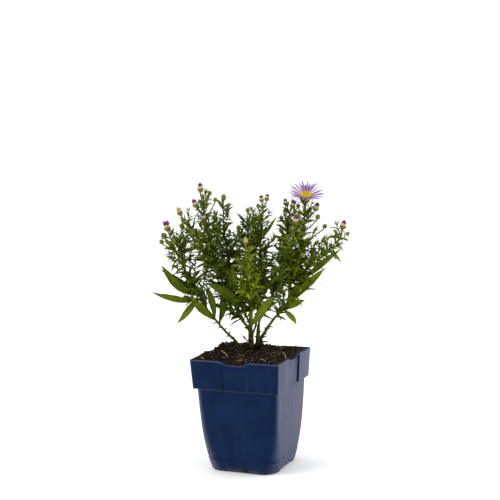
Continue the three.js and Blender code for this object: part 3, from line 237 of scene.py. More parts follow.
# Buds: leader, height of the stalk's root, middle of the cup, radius, petals that show if any
CLOSED = "none"
BUDS = [
    ("left", 266, (-91, 10, 272), 3.4, "opening"),
    ("left", 255, (-95, 8, 263), 3.1),
    ("left", 248, (-98, 6, 256), 2.4),
    ("left", 246, (-84, 15, 257), 3),
    ("centre_far", 281, (-77, 1, 288), 3.1, "pale"),
    ("left_inner", 266, (-75, -3, 272), 2.7),
    ("centre_outer", 260, (-63, 14, 266), 3),
    ("centre", 307, (-53, 4, 314), 3.3, "tip"),
    ("centre", 284, (-59, 8, 297), 3.2, "tip"),
    ("centre", 292, (-43, 0, 309), 2.3),
    ("centre", 280, (-37, -5, 301), 2.3),
    ("centre", 272, (-50, 13, 283), 2.6, "tip"),
    ("centre_back", 297, (-28, -20, 303), 2.8),
    ("centre_right", 292, (15, -4, 300), 2.6, "tip"),
    ("centre_right", 290, (21, -8, 301), 2.6, "tip"),
    ("centre_right", 278, (11, -9, 293), 2.2),
    ("plume", 251, (-4, 37, 257), 2.7, "pale"),
    ("right_front", 269, (52, 15, 276), 3.4, "tip"),
    ("right_back", 275, (42, -13, 295), 2.6, "tip"),
    ("right_back", 287, (50, -12, 292), 3, "opening"),
    ("right_back", 262, (41, -17, 286), 1.9),
    ("right_back", 268, (37, -10, 279), 2.1),
    ("right", 276, (75, 8, 290), 3.3, "tip"),
    ("right", 262, (77, 8, 280), 2.6),
    ("right", 280, (56, -7, 292), 2.3),
    ("right", 250, (85, 3, 269), 2.4),
    ("right_arm", 264, (105, 8, 269), 3.3, "tip"),
    ("thin", 281, (-1, -42, 286), 2.4),
    ("thin_fork", 260, (-12, -48, 265), 2.7),
    ("back_left", 268, (-39, -61, 275), 2.8),
    ("back_left_fork", 246, (-52, -42, 253), 2.6),
    ("back_middle", 240, (9, -78, 247), 2.8),
    ("back_middle_fork", 236, (-16, -74, 243), 2.4),
    ("back_right", 264, (49, -61, 271), 2.8),
    ("back_right_fork", 258, (64, -36, 265), 2.6),
    ("centre", 290, (-54, 6, 300), 2.2),
    ("centre", 286, (-46, 8, 297), 2.1),
    ("right", 270, (69, -2, 288), 2.2),
]

# Side shoots that fill the bush where the photograph shows them: leader, height of the root, tip
SIDE_SHOOTS = [
    ("left", 228, (-60, -4, 254)), ("left", 205, (-61, 12, 232)), ("left", 190, (-50, 6, 222)),
    ("left", 180, (-49, -6, 204)), ("centre", 184, (-45, -6, 212)),
    ("centre_back", 232, (-13, -10, 258)), ("centre_back", 215, (-12, -8, 243)),
    ("thin", 230, (-12, -30, 256)), ("centre_right", 250, (5, -2, 277)),
    ("thin", 250, (8, -36, 276)), ("centre_right", 262, (4, -4, 288)),
    ("thin", 262, (6, -38, 284)), ("centre_right", 245, (6, 0, 272)),
    ("centre", 255, (-38, 2, 284)), ("centre", 240, (-34, 6, 268)),
    ("centre_back", 255, (-38, -14, 283)), ("centre_right", 235, (27, -4, 257)),
    ("right_back", 222, (31, -6, 246)), ("right", 206, (33, -4, 232)),
    ("centre_right", 215, (27, 2, 236)), ("right", 178, (36, -4, 200)),
    ("right", 168, (34, 0, 184)), ("right", 238, (74, 6, 264)), ("right", 222, (76, -4, 250)),
    ("right_arm", 212, (72, -6, 236)), ("right_arm", 232, (84, 0, 254)),
    ("centre", 164, (-25, 4, 184)), ("right", 166, (36, 2, 178)),
    ("centre_right", 166, (24, 0, 182)), ("left", 188, (-72, 8, 194)),
]

# Shoots and their small leaves
SHOOT_SPACING = 18.0
SHOOT_LONG = 23.0
SHOOT_SHORT = 11.0
SHOOT_RADII = (0.55 * 1.15, 0.55 * 0.7)
STEM_SHARE = 0.86  # of the CAD's stem radii
SHOOT_SLANT = 0.85
SHOOT_BUDS = 0.4
SMALL_BUD = (1.7, 2.4)
LEAF_SPACING = 2.0
LEADER_LEAF_SPACING = 2.6
LEADER_LEAF = (25.0, 11.5)
BRACT_LOSS = 0.5  # how much shorter the leaves under the buds are
SMALL_LEAF = (16.5, 12.5)
LEAF_BREADTH = 0.27
SMALL_STEPS = [0, 0.14, 0.36, 0.62, 0.85, 1]  # shares of the length, and the widths there
SMALL_PROFILE = [0.34, 0.68, 1, 0.88, 0.46, 0.04]
THIN_BELOW = 0.4  # half width below which a blade grows thinner
LARGE_STEPS = [0, 0.05, 0.22, 0.38, 0.5, 0.65, 0.8, 0.92, 1]
LARGE_PROFILE = [0.2, 0.26, 0.66, 0.93, 1, 0.92, 0.62, 0.25, 0.01]

# Stage, in metres and watts. The light of the white room is in shares of white.
FLOOR_HALF = 6.0
LIGHTS = [  # name, place, target, size, power
    ("key", (-0.7, -0.9, 1.7), (0, 0, 0.2), 0.9, 14),
    ("side", (1.5, 0.5, 1.0), (0, 0, 0.15), 1.2, 12),
]
WORLD_LIGHT = [  # direction, the span of its cosine, light at either end of that
    (FRONT, -0.3, 0.8, 1.15, 0.3), (UP, 0.3, 1.0, 0.0, 0.5),
]
SEEN_WHITE = 1.05

# Dead twigs: stem, points, radii
TWIGS = [
    ("centre", [(0, -10.5, 136), (-3, -9, 138.5), (-6, -8, 139.5)], [1.3, 1.1, 0.9]),
    ("centre", [(-2.8, -7, 152), (-5.5, -7.5, 154), (-8, -8, 155)], [1.1, 0.9, 0.5]),
    ("right", [(11.5, -12, 141.5), (14.5, -11, 142.5), (18, -11, 142.6)], [1.2, 0.9, 0.4]),
    ("right", [(20, -8, 155), (22.5, -8.4, 154.6), (25, -9, 153.5)], [1.0, 0.8, 0.4]),
    ("right", [(32, -4, 171), (35, -2, 171.5), (38, 0, 171.5)], [0.9, 0.8, 0.5]),
    ("right", [(17, -9, 151), (17.5, -9, 154.5), (19, -9, 156)], [0.9, 0.8, 0.4]),
    ("right", [(5, -12, 128), (6.5, -11, 134), (8.5, -10.5, 139)], [3.4, 3.1, 2.0]),
    ("right", [(8, -12, 129), (10.5, -11.5, 135), (12, -11.5, 138.5)], [3.0, 2.5, 1.5]),
    ("right", [(11, -12.5, 137), (15, -12, 136.5), (19.5, -12, 137.5)], [1.3, 0.9, 0.5]),
    ("centre", [(-3, -10, 129), (-3.5, -9.5, 133), (-5, -9, 136)], [2.6, 2.0, 0.8]),
    ("left", [(-24, -10, 144.5), (-27, -9.6, 144.8), (-29, -9, 144.6)], [1.0, 0.9, 0.5]),
    ("left", [(-33, -7, 155), (-36.5, -6.6, 155.6), (-38, -6, 156.6)], [1.0, 0.8, 0.4]),
    ("left", [(-31, -8, 152), (-29, -7.6, 153.6), (-28, -7, 154.2)], [0.9, 0.7, 0.4]),
]
SPRIG = [(-6, -8, 139.5), (-0.5, 0.1, 0.85), (0.6, 0.8, 0.3)]  # root, heading, upper side
STUB_SPACING = 5.5
STUB_RADII = [1.0, 0.75, 0.4]
DEAD = -0.6  # the tone of dead wood
THREAD = [(54, 2, 205), (66, 8, 206.5), (74, 9.5, 206), (81, 10, 203.5)]

# Bloom
BLOOM = (64.8, 3, 304.8)
BLOOM_TILT = math.radians(28)
RAYS = 42
RAY_FOOT = 4.6
RAY_REACH = 20.8
RAY_WIDTH = 2.15
RAY_LIFT = math.radians(22)
RAY_STEPS = [0, 0.1, 0.3, 0.5, 0.8, 0.94, 1]
RAY_PROFILE = [0.4, 0.6, 0.92, 1, 0.72, 0.42, 0.1]
DISC_RADIUS = 6.2
DISC_CORE = ([-2.3, -0.9, -0.4, 0.3, 1.0, 1.5, 1.7], [4.0, 5.6, 5.9, 5.5, 4.2, 2.4, 0.4])
DISC_FLORETS = 170
OPEN_FLORETS_FROM = 3.4
OPEN_FLORET = (1.25, 0.36, [0.75, 0.85, 1.0, 1.35, 0.9])  # height, radius, profile
CLOSED_FLORET = (0.8, 0.3, [0.8, 1.0, 1.05, 0.75, 0.2])
FLORET_RISE = np.array([-0.4, 0.25, 0.6, 0.85, 1.0])
FLORET_LOBE = [(0.8, 1), (1.05, 1.6), (1.0, 2.3)]  # up and out
BLOOM_CUP = ([-9, -7.6, -6, -4.3, -2.6, -1.9], [1.4, 3.1, 4.2, 5, 5.4, 5.0])
BLOOM_SCALES = [  # count, foot, top, breadth, spread
    (9, -8.6, -5.0, 2.1, 0.6), (11, -7.4, -3.4, 2.0, 0.7), (13, -6.2, -1.9, 1.8, 0.6),
]


def at(places):
    """World place or direction of [right, front, up]."""
    p = np.asarray(places, float)
    return p[..., :1] * RIGHT + p[..., 1:2] * FRONT + p[..., 2:3] * UP


def draw(seed):
    """A number from 0 to 1 that looks random, and is the same for the same seed."""
    wave = math.sin(seed * 12.9898 + 4.1414) * 43758.5453
    return wave - math.floor(wave)


def between(low, high, share):
    return low + (high - low) * share


def smooth(value, low, high):
    share = np.clip((np.asarray(value, float) - low) / (high - low), 0, 1)
    return share * share * (3 - 2 * share)


def unit(v):
    return v / (np.linalg.norm(v, axis=-1, keepdims=True) + 1e-12)


def turned(v, axis, angle):
    """v turned about a unit axis."""
    cos, sin = math.cos(angle), math.sin(angle)
    return v * cos + np.cross(axis, v) * sin + axis * np.dot(axis, v) * (1 - cos)


def sideways(direction):
    """A way at right angles to another."""
    helper = FRONT if abs(direction[2]) > 0.9 else UP
    return unit(np.cross(helper, direction))


def outward(direction, turn, slant):
    """The way of what leaves a shoot at a slant, turned about it."""
    side = turned(sideways(direction), direction, turn)
    return direction * math.cos(slant) + side * math.sin(slant)


# Meshes. Every point carries "grown": tone, share along, share across, upper side (1) or not.


def add_object(name, data):
    made = bpy.data.objects.new(name, data)
    bpy.context.scene.collection.objects.link(made)
    return made


class Shape:
    """A mesh in the making."""

    def __init__(self, origin=(0, 0, 0)):
        self.origin = origin
        self.points, self.grown, self.faces, self.count = [], [], [], 0

    def add(self, points, faces, *grown):
        """Points (..., 3), groups of faces, and the four grown values, for all or for each."""
        parts = np.broadcast_arrays(*grown, points[..., 0])[:4]
        self.grown.append(np.stack(parts, -1).reshape(-1, 4))
        self.points.append(points.reshape(-1, 3))
        for group in faces:
            self.faces.extend((group.reshape(-1, group.shape[-1]) + self.count).tolist())
        self.count += len(self.points[-1])

    def mesh(self, name):
        made = bpy.data.meshes.new(name)
        points = np.concatenate(self.points) + self.origin
        made.from_pydata((points * MM).tolist(), [], self.faces)
        grown = made.attributes.new("grown", "FLOAT_COLOR", "POINT")
        grown.data.foreach_set("color", np.concatenate(self.grown).astype(np.float32).ravel())
        made.shade_smooth()
        return made


def strip_faces(rows, columns):
    """Quads between rings that follow each other."""
    r = np.arange(rows - 1)[:, None] * columns
    c = np.arange(columns)[None, :]
    n = (c + 1) % columns
    return np.stack([r + c, r + n, r + columns + n, r + columns + c], -1).reshape(-1, 4)


def add_rings(shape, rings, *grown):
    """Rings (K, M, 3) counter-clockwise about the way that they follow."""
    rows, columns = rings.shape[:2]
    foot, tip = np.arange(columns)[::-1][None], np.arange(columns)[None] + (rows - 1) * columns
    shape.add(rings, [strip_faces(rows, columns), foot, tip], *grown)


def tube_rings(points, radii, sides):
    points = np.asarray(points, float)
    along = unit(np.gradient(points, axis=0))
    side = sideways(along[0])
    angles = np.arange(sides) / sides * math.tau
    rings = []
    for point, way, radius in zip(points, along, radii):
        side = unit(side - way * np.dot(side, way))
        circle = np.outer(np.cos(angles), side) + np.outer(np.sin(angles), np.cross(way, side))
        rings.append(point + radius * circle)
    return np.array(rings)


def add_tube(shape, points, radii, sides, tone, low=0.0, high=1.0):
    rings = tube_rings(points, radii, sides)
    along = np.linspace(low, high, len(rings))[:, None]
    add_rings(shape, rings, tone, along, np.arange(sides) / sides, 1)


def add_blades(shape, paths, widths, normals, thickness, fold, across, tones):
    """Leaf blades: paths (N, K, 3), widths (N, K), and normals (N, 3) or (N, K, 3)."""
    paths, widths, normals = (np.asarray(rows, float) for rows in (paths, widths, normals))
    count, steps = paths.shape[:2]
    if normals.ndim == 2:
        normals = np.repeat(normals[:, None], steps, 1)
    along = unit(np.gradient(paths, axis=1))
    side = unit(np.cross(along, normals))
    normal = np.cross(side, along)
    top = np.linspace(-1, 1, across + 1)
    u = np.concatenate([top, top[-2:0:-1]])
    is_upper = np.concatenate([np.ones(across + 1), np.zeros(across - 1)])
    half = widths[..., None] / 2
    thick = thickness * np.minimum(1, half / THIN_BELOW)
    rise = fold * np.abs(u) * half - thick * (1 - u**2) * (1 - is_upper)
    points = paths[:, :, None] + side[:, :, None] * (u * half)[..., None]
    points = points + normal[:, :, None] * rise[..., None]
    ring = len(u)
    grown = (np.reshape(tones, (-1, 1, 1)), np.linspace(0, 1, steps)[:, None], (u + 1) / 2)
    starts = (np.arange(count) * steps * ring)[:, None, None]
    foot = np.arange(ring)[::-1] + starts
    tip = np.arange(ring) + (steps - 1) * ring + starts
    shape.add(points, [strip_faces(steps, ring) + starts, foot, tip], *grown, is_upper)


def curve_through(points, step):
    """Points at even distances on the centripetal curve through the given ones."""
    points = np.asarray(points, float)
    padded = np.vstack([2 * points[0] - points[1], points, 2 * points[-1] - points[-2]])
    dense = []
    share = np.linspace(0, 1, 24, endpoint=False)[:, None]
    for i in range(len(points) - 1):
        p0, p1, p2, p3 = padded[i:i + 4]
        d0, d1, d2 = (np.sum((b - a) ** 2) ** 0.25 for a, b in ((p0, p1), (p1, p2), (p2, p3)))
        t1 = ((p1 - p0) / d0 - (p2 - p0) / (d0 + d1) + (p2 - p1) / d1) * d1
        t2 = ((p2 - p1) / d1 - (p3 - p1) / (d1 + d2) + (p3 - p2) / d2) * d1
        c2 = -3 * p1 + 3 * p2 - 2 * t1 - t2
        c3 = 2 * p1 - 2 * p2 + t1 + t2
        dense.append(p1 + t1 * share + c2 * share**2 + c3 * share**3)
    dense = np.vstack([*dense, points[-1:]])
    lengths = np.concatenate([[0], np.cumsum(np.linalg.norm(np.diff(dense, axis=0), axis=1))])
    places = np.linspace(0, lengths[-1], max(4, int(lengths[-1] / step) + 1))
    return np.stack([np.interp(places, lengths, row) for row in dense.T], 1), lengths[-1]


def row_at(rows, share):
    """The place at a share of the way along evenly spaced rows."""
    place = share * (len(rows) - 1)
    k = min(int(place), len(rows) - 2)
    return between(rows[k], rows[k + 1], place - k)


class Bush:
    """The meshes of one stem with all that it carries."""

    def __init__(self):
        self.stems, self.leaves, self.buds = (Shape(PLANT_ORIGIN) for _ in range(3))
        self.small = []

    def leaf(self, root, heading, normal, length, width, bend, tone):
        self.small.append((*root, *heading, *normal, length, width, bend, tone))

    def leaf_beside(self, way, turn, slant, root, *sizes):
        """A leaf that leans away from the way of its shoot."""
        side = turned(sideways(way), way, turn)
        heading = way * math.cos(slant) + side * math.sin(slant)
        self.leaf(root, heading, way * math.sin(slant) - side * math.cos(slant), *sizes)

    def finish(self):
        rows = np.array(self.small)
        root, heading, normal = rows[:, 0:3], rows[:, 3:6], rows[:, 6:9]
        length, width, bend, tone = rows[:, 9:13].T
        share = np.array(SMALL_STEPS)
        out = length[:, None, None] * share[None, :, None] * heading[:, None]
        back = (length * bend)[:, None, None] * (share**2)[None, :, None]
        fall = -normal * 0.85 - UP * 0.25
        paths = root[:, None] + out + back * fall[:, None]
        widths = width[:, None] * SMALL_PROFILE
        add_blades(self.leaves, paths, widths, normal, 0.3, 0.35, 2, tone)


class Leader:
    """A stem, or a fork of one, with what grows on it."""

    def __init__(self, order, name, parent, height, radius, bare, tone, route):
        start = [parent.point(parent.share_at(height))] if parent else []
        self.points, self.length = curve_through([*start, *at(route)], 1.2)
        self.ways = unit(np.gradient(self.points, axis=0))
        self.order, self.name, self.parent = order, name, parent
        self.bush = parent.bush if parent else Bush()
        self.radius, self.bare, self.tone = radius, bare, tone

    def point(self, share):
        return row_at(self.points, min(max(share, 0), 1))

    def way(self, share):
        return unit(row_at(self.ways, min(max(share, 0), 1)))

    def share_at(self, height):
        """The share of the way along at which the leader reaches a height."""
        low, high = 0.0, 1.0
        for _ in range(24):
            middle = (low + high) / 2
            if self.point(middle)[2] < height:
                low = middle
            else:
                high = middle
        return low


leaders = {}
for order, (name, parent, *rest) in enumerate(LEADERS):
    leaders[name] = Leader(order, name, leaders.get(parent), *rest)
petal_shape = Shape(PLANT_ORIGIN)


# Stems


def grow_leader(leader):
    share = np.linspace(0, 1, len(leader.points))
    radii = between(*leader.radius, share)
    away = share * leader.length
    points, low = leader.points, 0.0
    if leader.parent:
        radii = radii * (0.75 + 0.25 * smooth(away, 0, 6))
        low = leader.parent.share_at(points[0][2]) * 0.5
    else:
        flare = 1.25 if leader.name == "right" else 0.4
        radii = radii * (1 + flare * np.exp(-away / 10))
    radii = radii * (STEM_SHARE + 0.035 * np.sin(away * 1.35 + leader.order))
    if not leader.parent:
        points = np.vstack([points[0] - UP * 12, points[0] - UP * 4, points])
        radii = np.concatenate([[radii[0], radii[0]], radii])
    add_tube(leader.bush.stems, points, radii, 10, leader.tone, low)


def dried_stubs(leader):
    """Broken leaf bases and buds on the bare foot of a stem."""
    if leader.parent:
        return
    for i in range(int(leader.bare / STUB_SPACING)):
        seed = leader.order * 37 + i
        share = (3 + i * STUB_SPACING + 3 * draw(seed)) / leader.length
        turn, slant = i * GOLDEN_TURN + leader.order, between(0.7, 1.3, draw(seed + 9))
        heading = outward(leader.way(share), turn, slant)
        start = leader.point(share)
        length = between(1.4, 4.4, draw(seed + 5) ** 2) + between(*leader.radius, share)
        bend = start + heading * length * 0.6
        tip = start + heading * length + UP * 0.4 * (draw(seed + 3) - 0.3)
        add_tube(leader.bush.stems, [start, bend, tip], STUB_RADII, 6, DEAD, 0, 0)


def add_twig(leader, places, step, ends, sides, tone, low):
    """A tube through places, in the tone of its leader or off it. Its points and its length."""
    points, length = curve_through(places, step)
    radii = np.linspace(*ends, len(points))
    add_tube(leader.bush.stems, points, radii, sides, leader.tone + tone, low)
    return points, length


def broken_twigs():
    """Dead stubs, a sprig and a pale thread that show on the photographed side."""
    for name, points, radii in TWIGS:
        add_tube(leaders[name].bush.stems, at(points), radii, 6, DEAD, 0, 0)
    points, _ = curve_through(at(THREAD), 1.2)
    add_tube(leaders["right"].bush.stems, points, np.full(len(points), 0.2), 5, -0.12)
    leaders["centre"].bush.leaf(*at(SPRIG), 8, 2.8, 0.2, 0.7)


# Small leaves


def leafy(bush, points, length, size, tone, seed, start, spacing, tip_size):
    """Small leaves round a shoot, a golden turn apart."""
    ways = unit(np.gradient(points, axis=0))
    for i in range(max(1, int((length - start) / spacing))):
        share = (start + i * spacing) / length
        mix = [draw(seed * 7.3 + i * 1.7 + j * 13.1) for j in range(6)]
        slant = between(1.15, 0.45, share**1.5) * between(0.8, 1.2, mix[0])
        turn = i * GOLDEN_TURN + seed + 0.5 * mix[1]
        reach = size * between(1, tip_size, share) * between(0.75, 1.2, mix[2])
        width = reach * LEAF_BREADTH * between(0.85, 1.2, mix[3]) + 0.25
        bend, leaf_tone = between(-0.05, 0.42, mix[5]), tone + 0.4 * (mix[4] - 0.5) + 0.12 * share
        way, root = unit(row_at(ways, share)), row_at(points, share)
        bush.leaf_beside(way, turn, slant, root, reach, width, bend, leaf_tone)


def grow_shoot(leader, share, turn, seed, scale=1.0, may_bud=True):
    size = between(SHOOT_LONG, SHOOT_SHORT, share) * between(0.8, 1.2, draw(seed)) * scale
    start, heading = leader.point(share), outward(leader.way(share), turn, SHOOT_SLANT)
    bend = start + heading * size * 0.5
    tip = bend + heading * size * 0.3 + UP * size * 0.25
    is_budded = may_bud and draw(seed + 50) < SHOOT_BUDS
    points, length = add_twig(leader, [start, bend, tip], 1.0, SHOOT_RADII, 6, 0.1, 0.6)
    bush, tone, leaf_size = leader.bush, leader.tone, between(*SMALL_LEAF, share)
    tip_size = 0.42 if is_budded else 0.62
    leafy(bush, points, length, leaf_size, tone, seed, 1.5, LEAF_SPACING, tip_size)
    way = unit(points[-1] - points[-2])
    if is_budded:
        radius = between(*SMALL_BUD, draw(seed + 70))
        add_bud(bush, tip + way * radius * 1.4, way, radius, CLOSED, seed)
    else:
        leafy_tip(bush, tip, way, leaf_size, tone + 0.2, seed)


def leafy_tip(bush, tip, way, size, tone, seed):
    """Young leaves that close the end of a shoot."""
    for i in range(5):
        lean = outward(way, i * GOLDEN_TURN + seed, 0.28 + 0.08 * i)
        normal = unit(np.cross(np.cross(lean, way), lean))
        reach = size * between(0.32, 0.6, draw(seed + i * 3))
        bush.leaf(tip, lean, normal, reach, reach * 0.2, 0.1, tone)


def grow_side_shoot(leader, share, index, tip):
    start, end = leader.point(share), at(tip)
    bend = between(start, end, 0.5) - UP * 0.06 * np.linalg.norm(end - start)
    points, length = add_twig(leader, [start, bend, end], 1.0, (0.8, 0.4), 6, 0.1, 0.6)
    bush, tone, size, seed = leader.bush, leader.tone, between(*SMALL_LEAF, share), index + 1700
    leafy(bush, points, length, size, tone, seed, 1.5, LEAF_SPACING, 0.6)
    leafy_tip(bush, end, unit(points[-1] - points[-2]), size, tone + 0.2, seed)


def grow_shoots(leader):
    count = int((leader.length - leader.bare) / SHOOT_SPACING)
    for i in range(count):
        share = (leader.bare + (i + 0.4) * SHOOT_SPACING) / leader.length
        turn = (leader.order + i) * GOLDEN_TURN
        grow_shoot(leader, share, turn, leader.order * 100 + i)
        for k, part in enumerate((0.33, 0.67)):
            more = share + part * SHOOT_SPACING / leader.length
            if more < 0.97:
                seed = leader.order * 100 + i + 40 + 23 * k
                grow_shoot(leader, more, turn + (k + 1) * 1.9, seed, 0.92, k == 0)


def leader_leaves(leader):
    leafy_length = leader.length - leader.bare
    for i in range(int(leafy_length / LEADER_LEAF_SPACING)):
        share = (leader.bare + (i + 0.2) * LEADER_LEAF_SPACING) / leader.length
        mix = [draw(leader.order * 51 + i * 2.3 + j * 17.7) for j in range(5)]
        slant = between(1.15, 0.75, share) * between(0.85, 1.15, mix[0])
        turn = i * GOLDEN_TURN + leader.order + 0.6 * mix[1]
        up_share = (share * leader.length - leader.bare) / leafy_length
        reach = between(*LEADER_LEAF, up_share) * between(0.7, 1.15, mix[2])
        reach = reach * (1 - BRACT_LOSS * float(smooth(up_share, 0.74, 0.97)))
        width = reach * LEAF_BREADTH * between(0.8, 1.1, mix[3]) + 0.3
        bend, tone = between(0, 0.45, mix[4]), leader.tone + 0.25 * (mix[4] - 0.6)
        way, root = leader.way(share), leader.point(share)
        leader.bush.leaf_beside(way, turn, slant, root, reach, width, bend, tone)


def grow_large_leaf(leader, root_share, index, tip, width, bow, face, tone):
    root, end = leader.point(root_share), at(tip)
    share = np.linspace(0, 1, 18)
    way = unit(end - root)
    normal = unit(at(face) - way * np.dot(at(face), way))
    side = np.cross(way, normal)
    arch = share * (1 - share)
    wave = np.sin(share * 9 + index) * 0.024 * np.linalg.norm(end - root) * arch
    path = root + share[:, None] * (end - root) + at(bow) * (4 * arch)[:, None]
    path = path + side * wave[:, None]
    sway = side * (draw(index + 31) - 0.5) * 0.9
    normals = unit(normal + sway * (share[:, None] - 0.3))
    profile = np.interp(share, LARGE_STEPS, LARGE_PROFILE)
    widths = width * profile * (1 + 0.035 * np.sin(share * 31 + index * 2))
    fold = between(0.16, 0.42, draw(index + 77))
    add_blades(leader.bush.leaves, [path], [widths], [normals], 0.42, fold, 6, tone)


# Buds

# Cups: heights and radii, in shares of the bud's radius
CUP_CLOSED = (
    [-1.12, -1.0, -0.78, -0.4, 0, 0.4, 0.75, 1.05, 1.3],
    [0.3, 0.5, 0.74, 0.95, 1, 0.93, 0.7, 0.38, 0.05],
)
CUP_OPEN = (
    [-1.12, -1.0, -0.78, -0.4, 0, 0.35, 0.65, 0.7],
    [0.3, 0.5, 0.74, 0.93, 0.97, 0.92, 0.82, 0.5],
)
# Rows of scales: count, foot, top, breadth, spread
CLOSED_SCALES = [
    (7, -0.85, -0.05, 0.72, 0.07), (8, -0.5, 0.38, 0.68, 0.06), (9, -0.1, 0.8, 0.6, 0.05),
    (7, 0.25, 1.24, 0.5, 0),
]
CREAM_SCALES = [(9, -0.1, 0.62, 0.62, 0.04), (10, 0.1, 0.92, 0.54, 0.05)]
OPEN_SCALES = [
    (7, -0.85, -0.3, 0.74, 0.08), (8, -0.65, 0.02, 0.7, 0.09), (8, -0.45, 0.3, 0.55, 0.1),
]
SCALE_PROFILE = np.array([0.7, 0.95, 1, 0.85, 0.5, 0.06])
CREAM_TONE = 2.0  # added to the tone of a scale that is cream instead of green
# Furled petals: heights and radii of their core, then of their outer side
CORE_RISE = np.array([0.5, 0.85, 1.2, 1.55, 1.85, 2.1])
CORE_RADII = np.array([0.7, 0.82, 0.8, 0.66, 0.4, 0.06])
CORE_SPREAD = np.array([1, 1.12, 1.3, 1.5, 1.5, 1])  # of an opening bud
FURLED = ([0.55, 0.85, 1.2, 1.55, 1.85, 2.2], [0.76, 0.88, 0.86, 0.72, 0.48, 0.14])
PETAL_PROFILE = np.array([0.8, 1, 1, 0.95, 0.85, 0.7, 0.42, 0.06])


def frame_of(axis, turn):
    side = turned(sideways(axis), axis, turn)
    return side, np.cross(axis, side)


def add_round(shape, centre, axis, heights, sizes, sides, tone, turn=0.0):
    side, other = frame_of(axis, turn)
    angles = np.arange(sides) / sides * math.tau
    circle = np.outer(np.cos(angles), side) + np.outer(np.sin(angles), other)
    rings = np.array([centre + axis * h + circle * r for h, r in zip(heights, sizes)])
    along = (np.array(heights) - heights[0]) / (heights[-1] - heights[0])
    add_rings(shape, rings, tone, along[:, None], 0.5, 1)


def add_scales(shape, centre, axis, radius, rows, profile, tone, seed):
    """Overlapping scales on a cup."""
    for number, (count, foot, top, breadth, spread) in enumerate(rows):
        share = np.linspace(0, 1, 6)
        heights = between(foot, top, share)
        paths, normals, tones = [], [], []
        for i in range(count):
            angle = (i + 0.5 * (number % 2) + 0.2 * draw(seed + i)) / count * math.tau
            side, _ = frame_of(axis, angle)
            away = np.interp(heights, *profile) + 0.03 + 0.02 * number
            away = away + spread * (1 + draw(seed + i * 3 + number)) * share**3
            paths.append(centre + radius * (axis * heights[:, None] + side * away[:, None]))
            normals.append(side)
            tones.append(tone + 0.12 * (draw(seed + i * 5) - 0.5))
        widths = [radius * breadth * SCALE_PROFILE] * count
        add_blades(shape, paths, widths, normals, 0.09 * radius, -0.12, 4, tones)


def add_bud(bush, centre, axis, radius, show, seed):
    is_closed = show == CLOSED
    profile = CUP_CLOSED if is_closed else CUP_OPEN
    tone = between(0.35, 0.8, draw(seed + 11))
    heights, sizes = (np.array(row) * radius for row in profile)
    add_round(bush.buds, centre, axis, heights, sizes, 12, tone)
    layers = [(CREAM_SCALES, CREAM_TONE), (OPEN_SCALES, 0)]
    if is_closed:
        layers = [(CLOSED_SCALES, 0)]
    for rows, extra in layers:
        add_scales(bush.buds, centre, axis, radius, rows, profile, tone + extra, seed)
    if not is_closed:
        add_bud_petals(centre, axis, radius, show, seed)


def add_bud_petals(centre, axis, radius, show, seed):
    is_opening = show == "opening"
    extra = CREAM_TONE if show == "pale" else 0
    rise, sizes = CORE_RISE, CORE_RADII
    if is_opening:
        rise, sizes = rise * 0.92, sizes * CORE_SPREAD
    add_round(petal_shape, centre, axis, rise * radius, sizes * radius, 12, 0.3 + extra, draw(seed))
    count, top_range, curl, tone_range = 11, (1.85, 2.2), 0.75, (0.1, 0.45)
    if is_opening:
        count, top_range, curl, tone_range = 26, (1.8, 2.8), 0.3, (0.2, 0.9)
    share = np.linspace(0, 1, 8)
    paths, normals, tones = [], [], []
    for i in range(count):
        mix = [draw(seed * 3.1 + i * 1.9 + j * 7.7) for j in range(4)]
        angle = (i + 0.4 * mix[0]) / count * math.tau
        high = between(0.55, between(*top_range, mix[1]), share)
        away = np.interp(high, *FURLED)
        if is_opening:
            away = 0.72 + between(0.1, 0.95, mix[2]) * share**1.3
            away = away * (0.75 + 0.25 * mix[3])
        ways = np.array([turned(sideways(axis), axis, angle + curl * part) for part in share])
        paths.append(centre + radius * (axis * high[:, None] + ways * away[:, None]))
        normals.append(ways)
        tones.append(between(*tone_range, mix[3]) + extra)
    widths = [radius * 0.5 * PETAL_PROFILE] * count
    add_blades(petal_shape, paths, widths, normals, 0.12 * radius, -0.3, 2, tones)


def grow_bud(leader, share, index, middle, radius, show=CLOSED):
    root, centre = leader.point(share), at(middle)
    foot = centre - UP * radius
    bend = between(root, foot, 0.5) - leader.way(share)
    axis = unit(between(unit(foot - bend), UP, 0.5))
    end = centre - axis * radius
    places = [root, bend, end - axis * 0.8, end]
    points, length = add_twig(leader, places, 0.9, (0.75, 0.6), 7, 0.15, 0.7)
    size = 5.2 if radius > 2.5 else 4.2
    leafy(leader.bush, points, length, size, leader.tone + 0.12, index + 900, 0.8, 1.9, 0.6)
    add_bud(leader.bush, centre, axis, radius, show, index + 500)


# Bloom

bloom_axis = at((0, math.sin(BLOOM_TILT), math.cos(BLOOM_TILT)))
bloom_back = np.cross(bloom_axis, RIGHT)
bloom_middle = at(BLOOM)


def out_of_bloom(turn):
    """The way out from the bloom's axis at an angle, or at each of several."""
    turn = np.asarray(turn)[..., None]
    return np.cos(turn) * RIGHT + np.sin(turn) * bloom_back


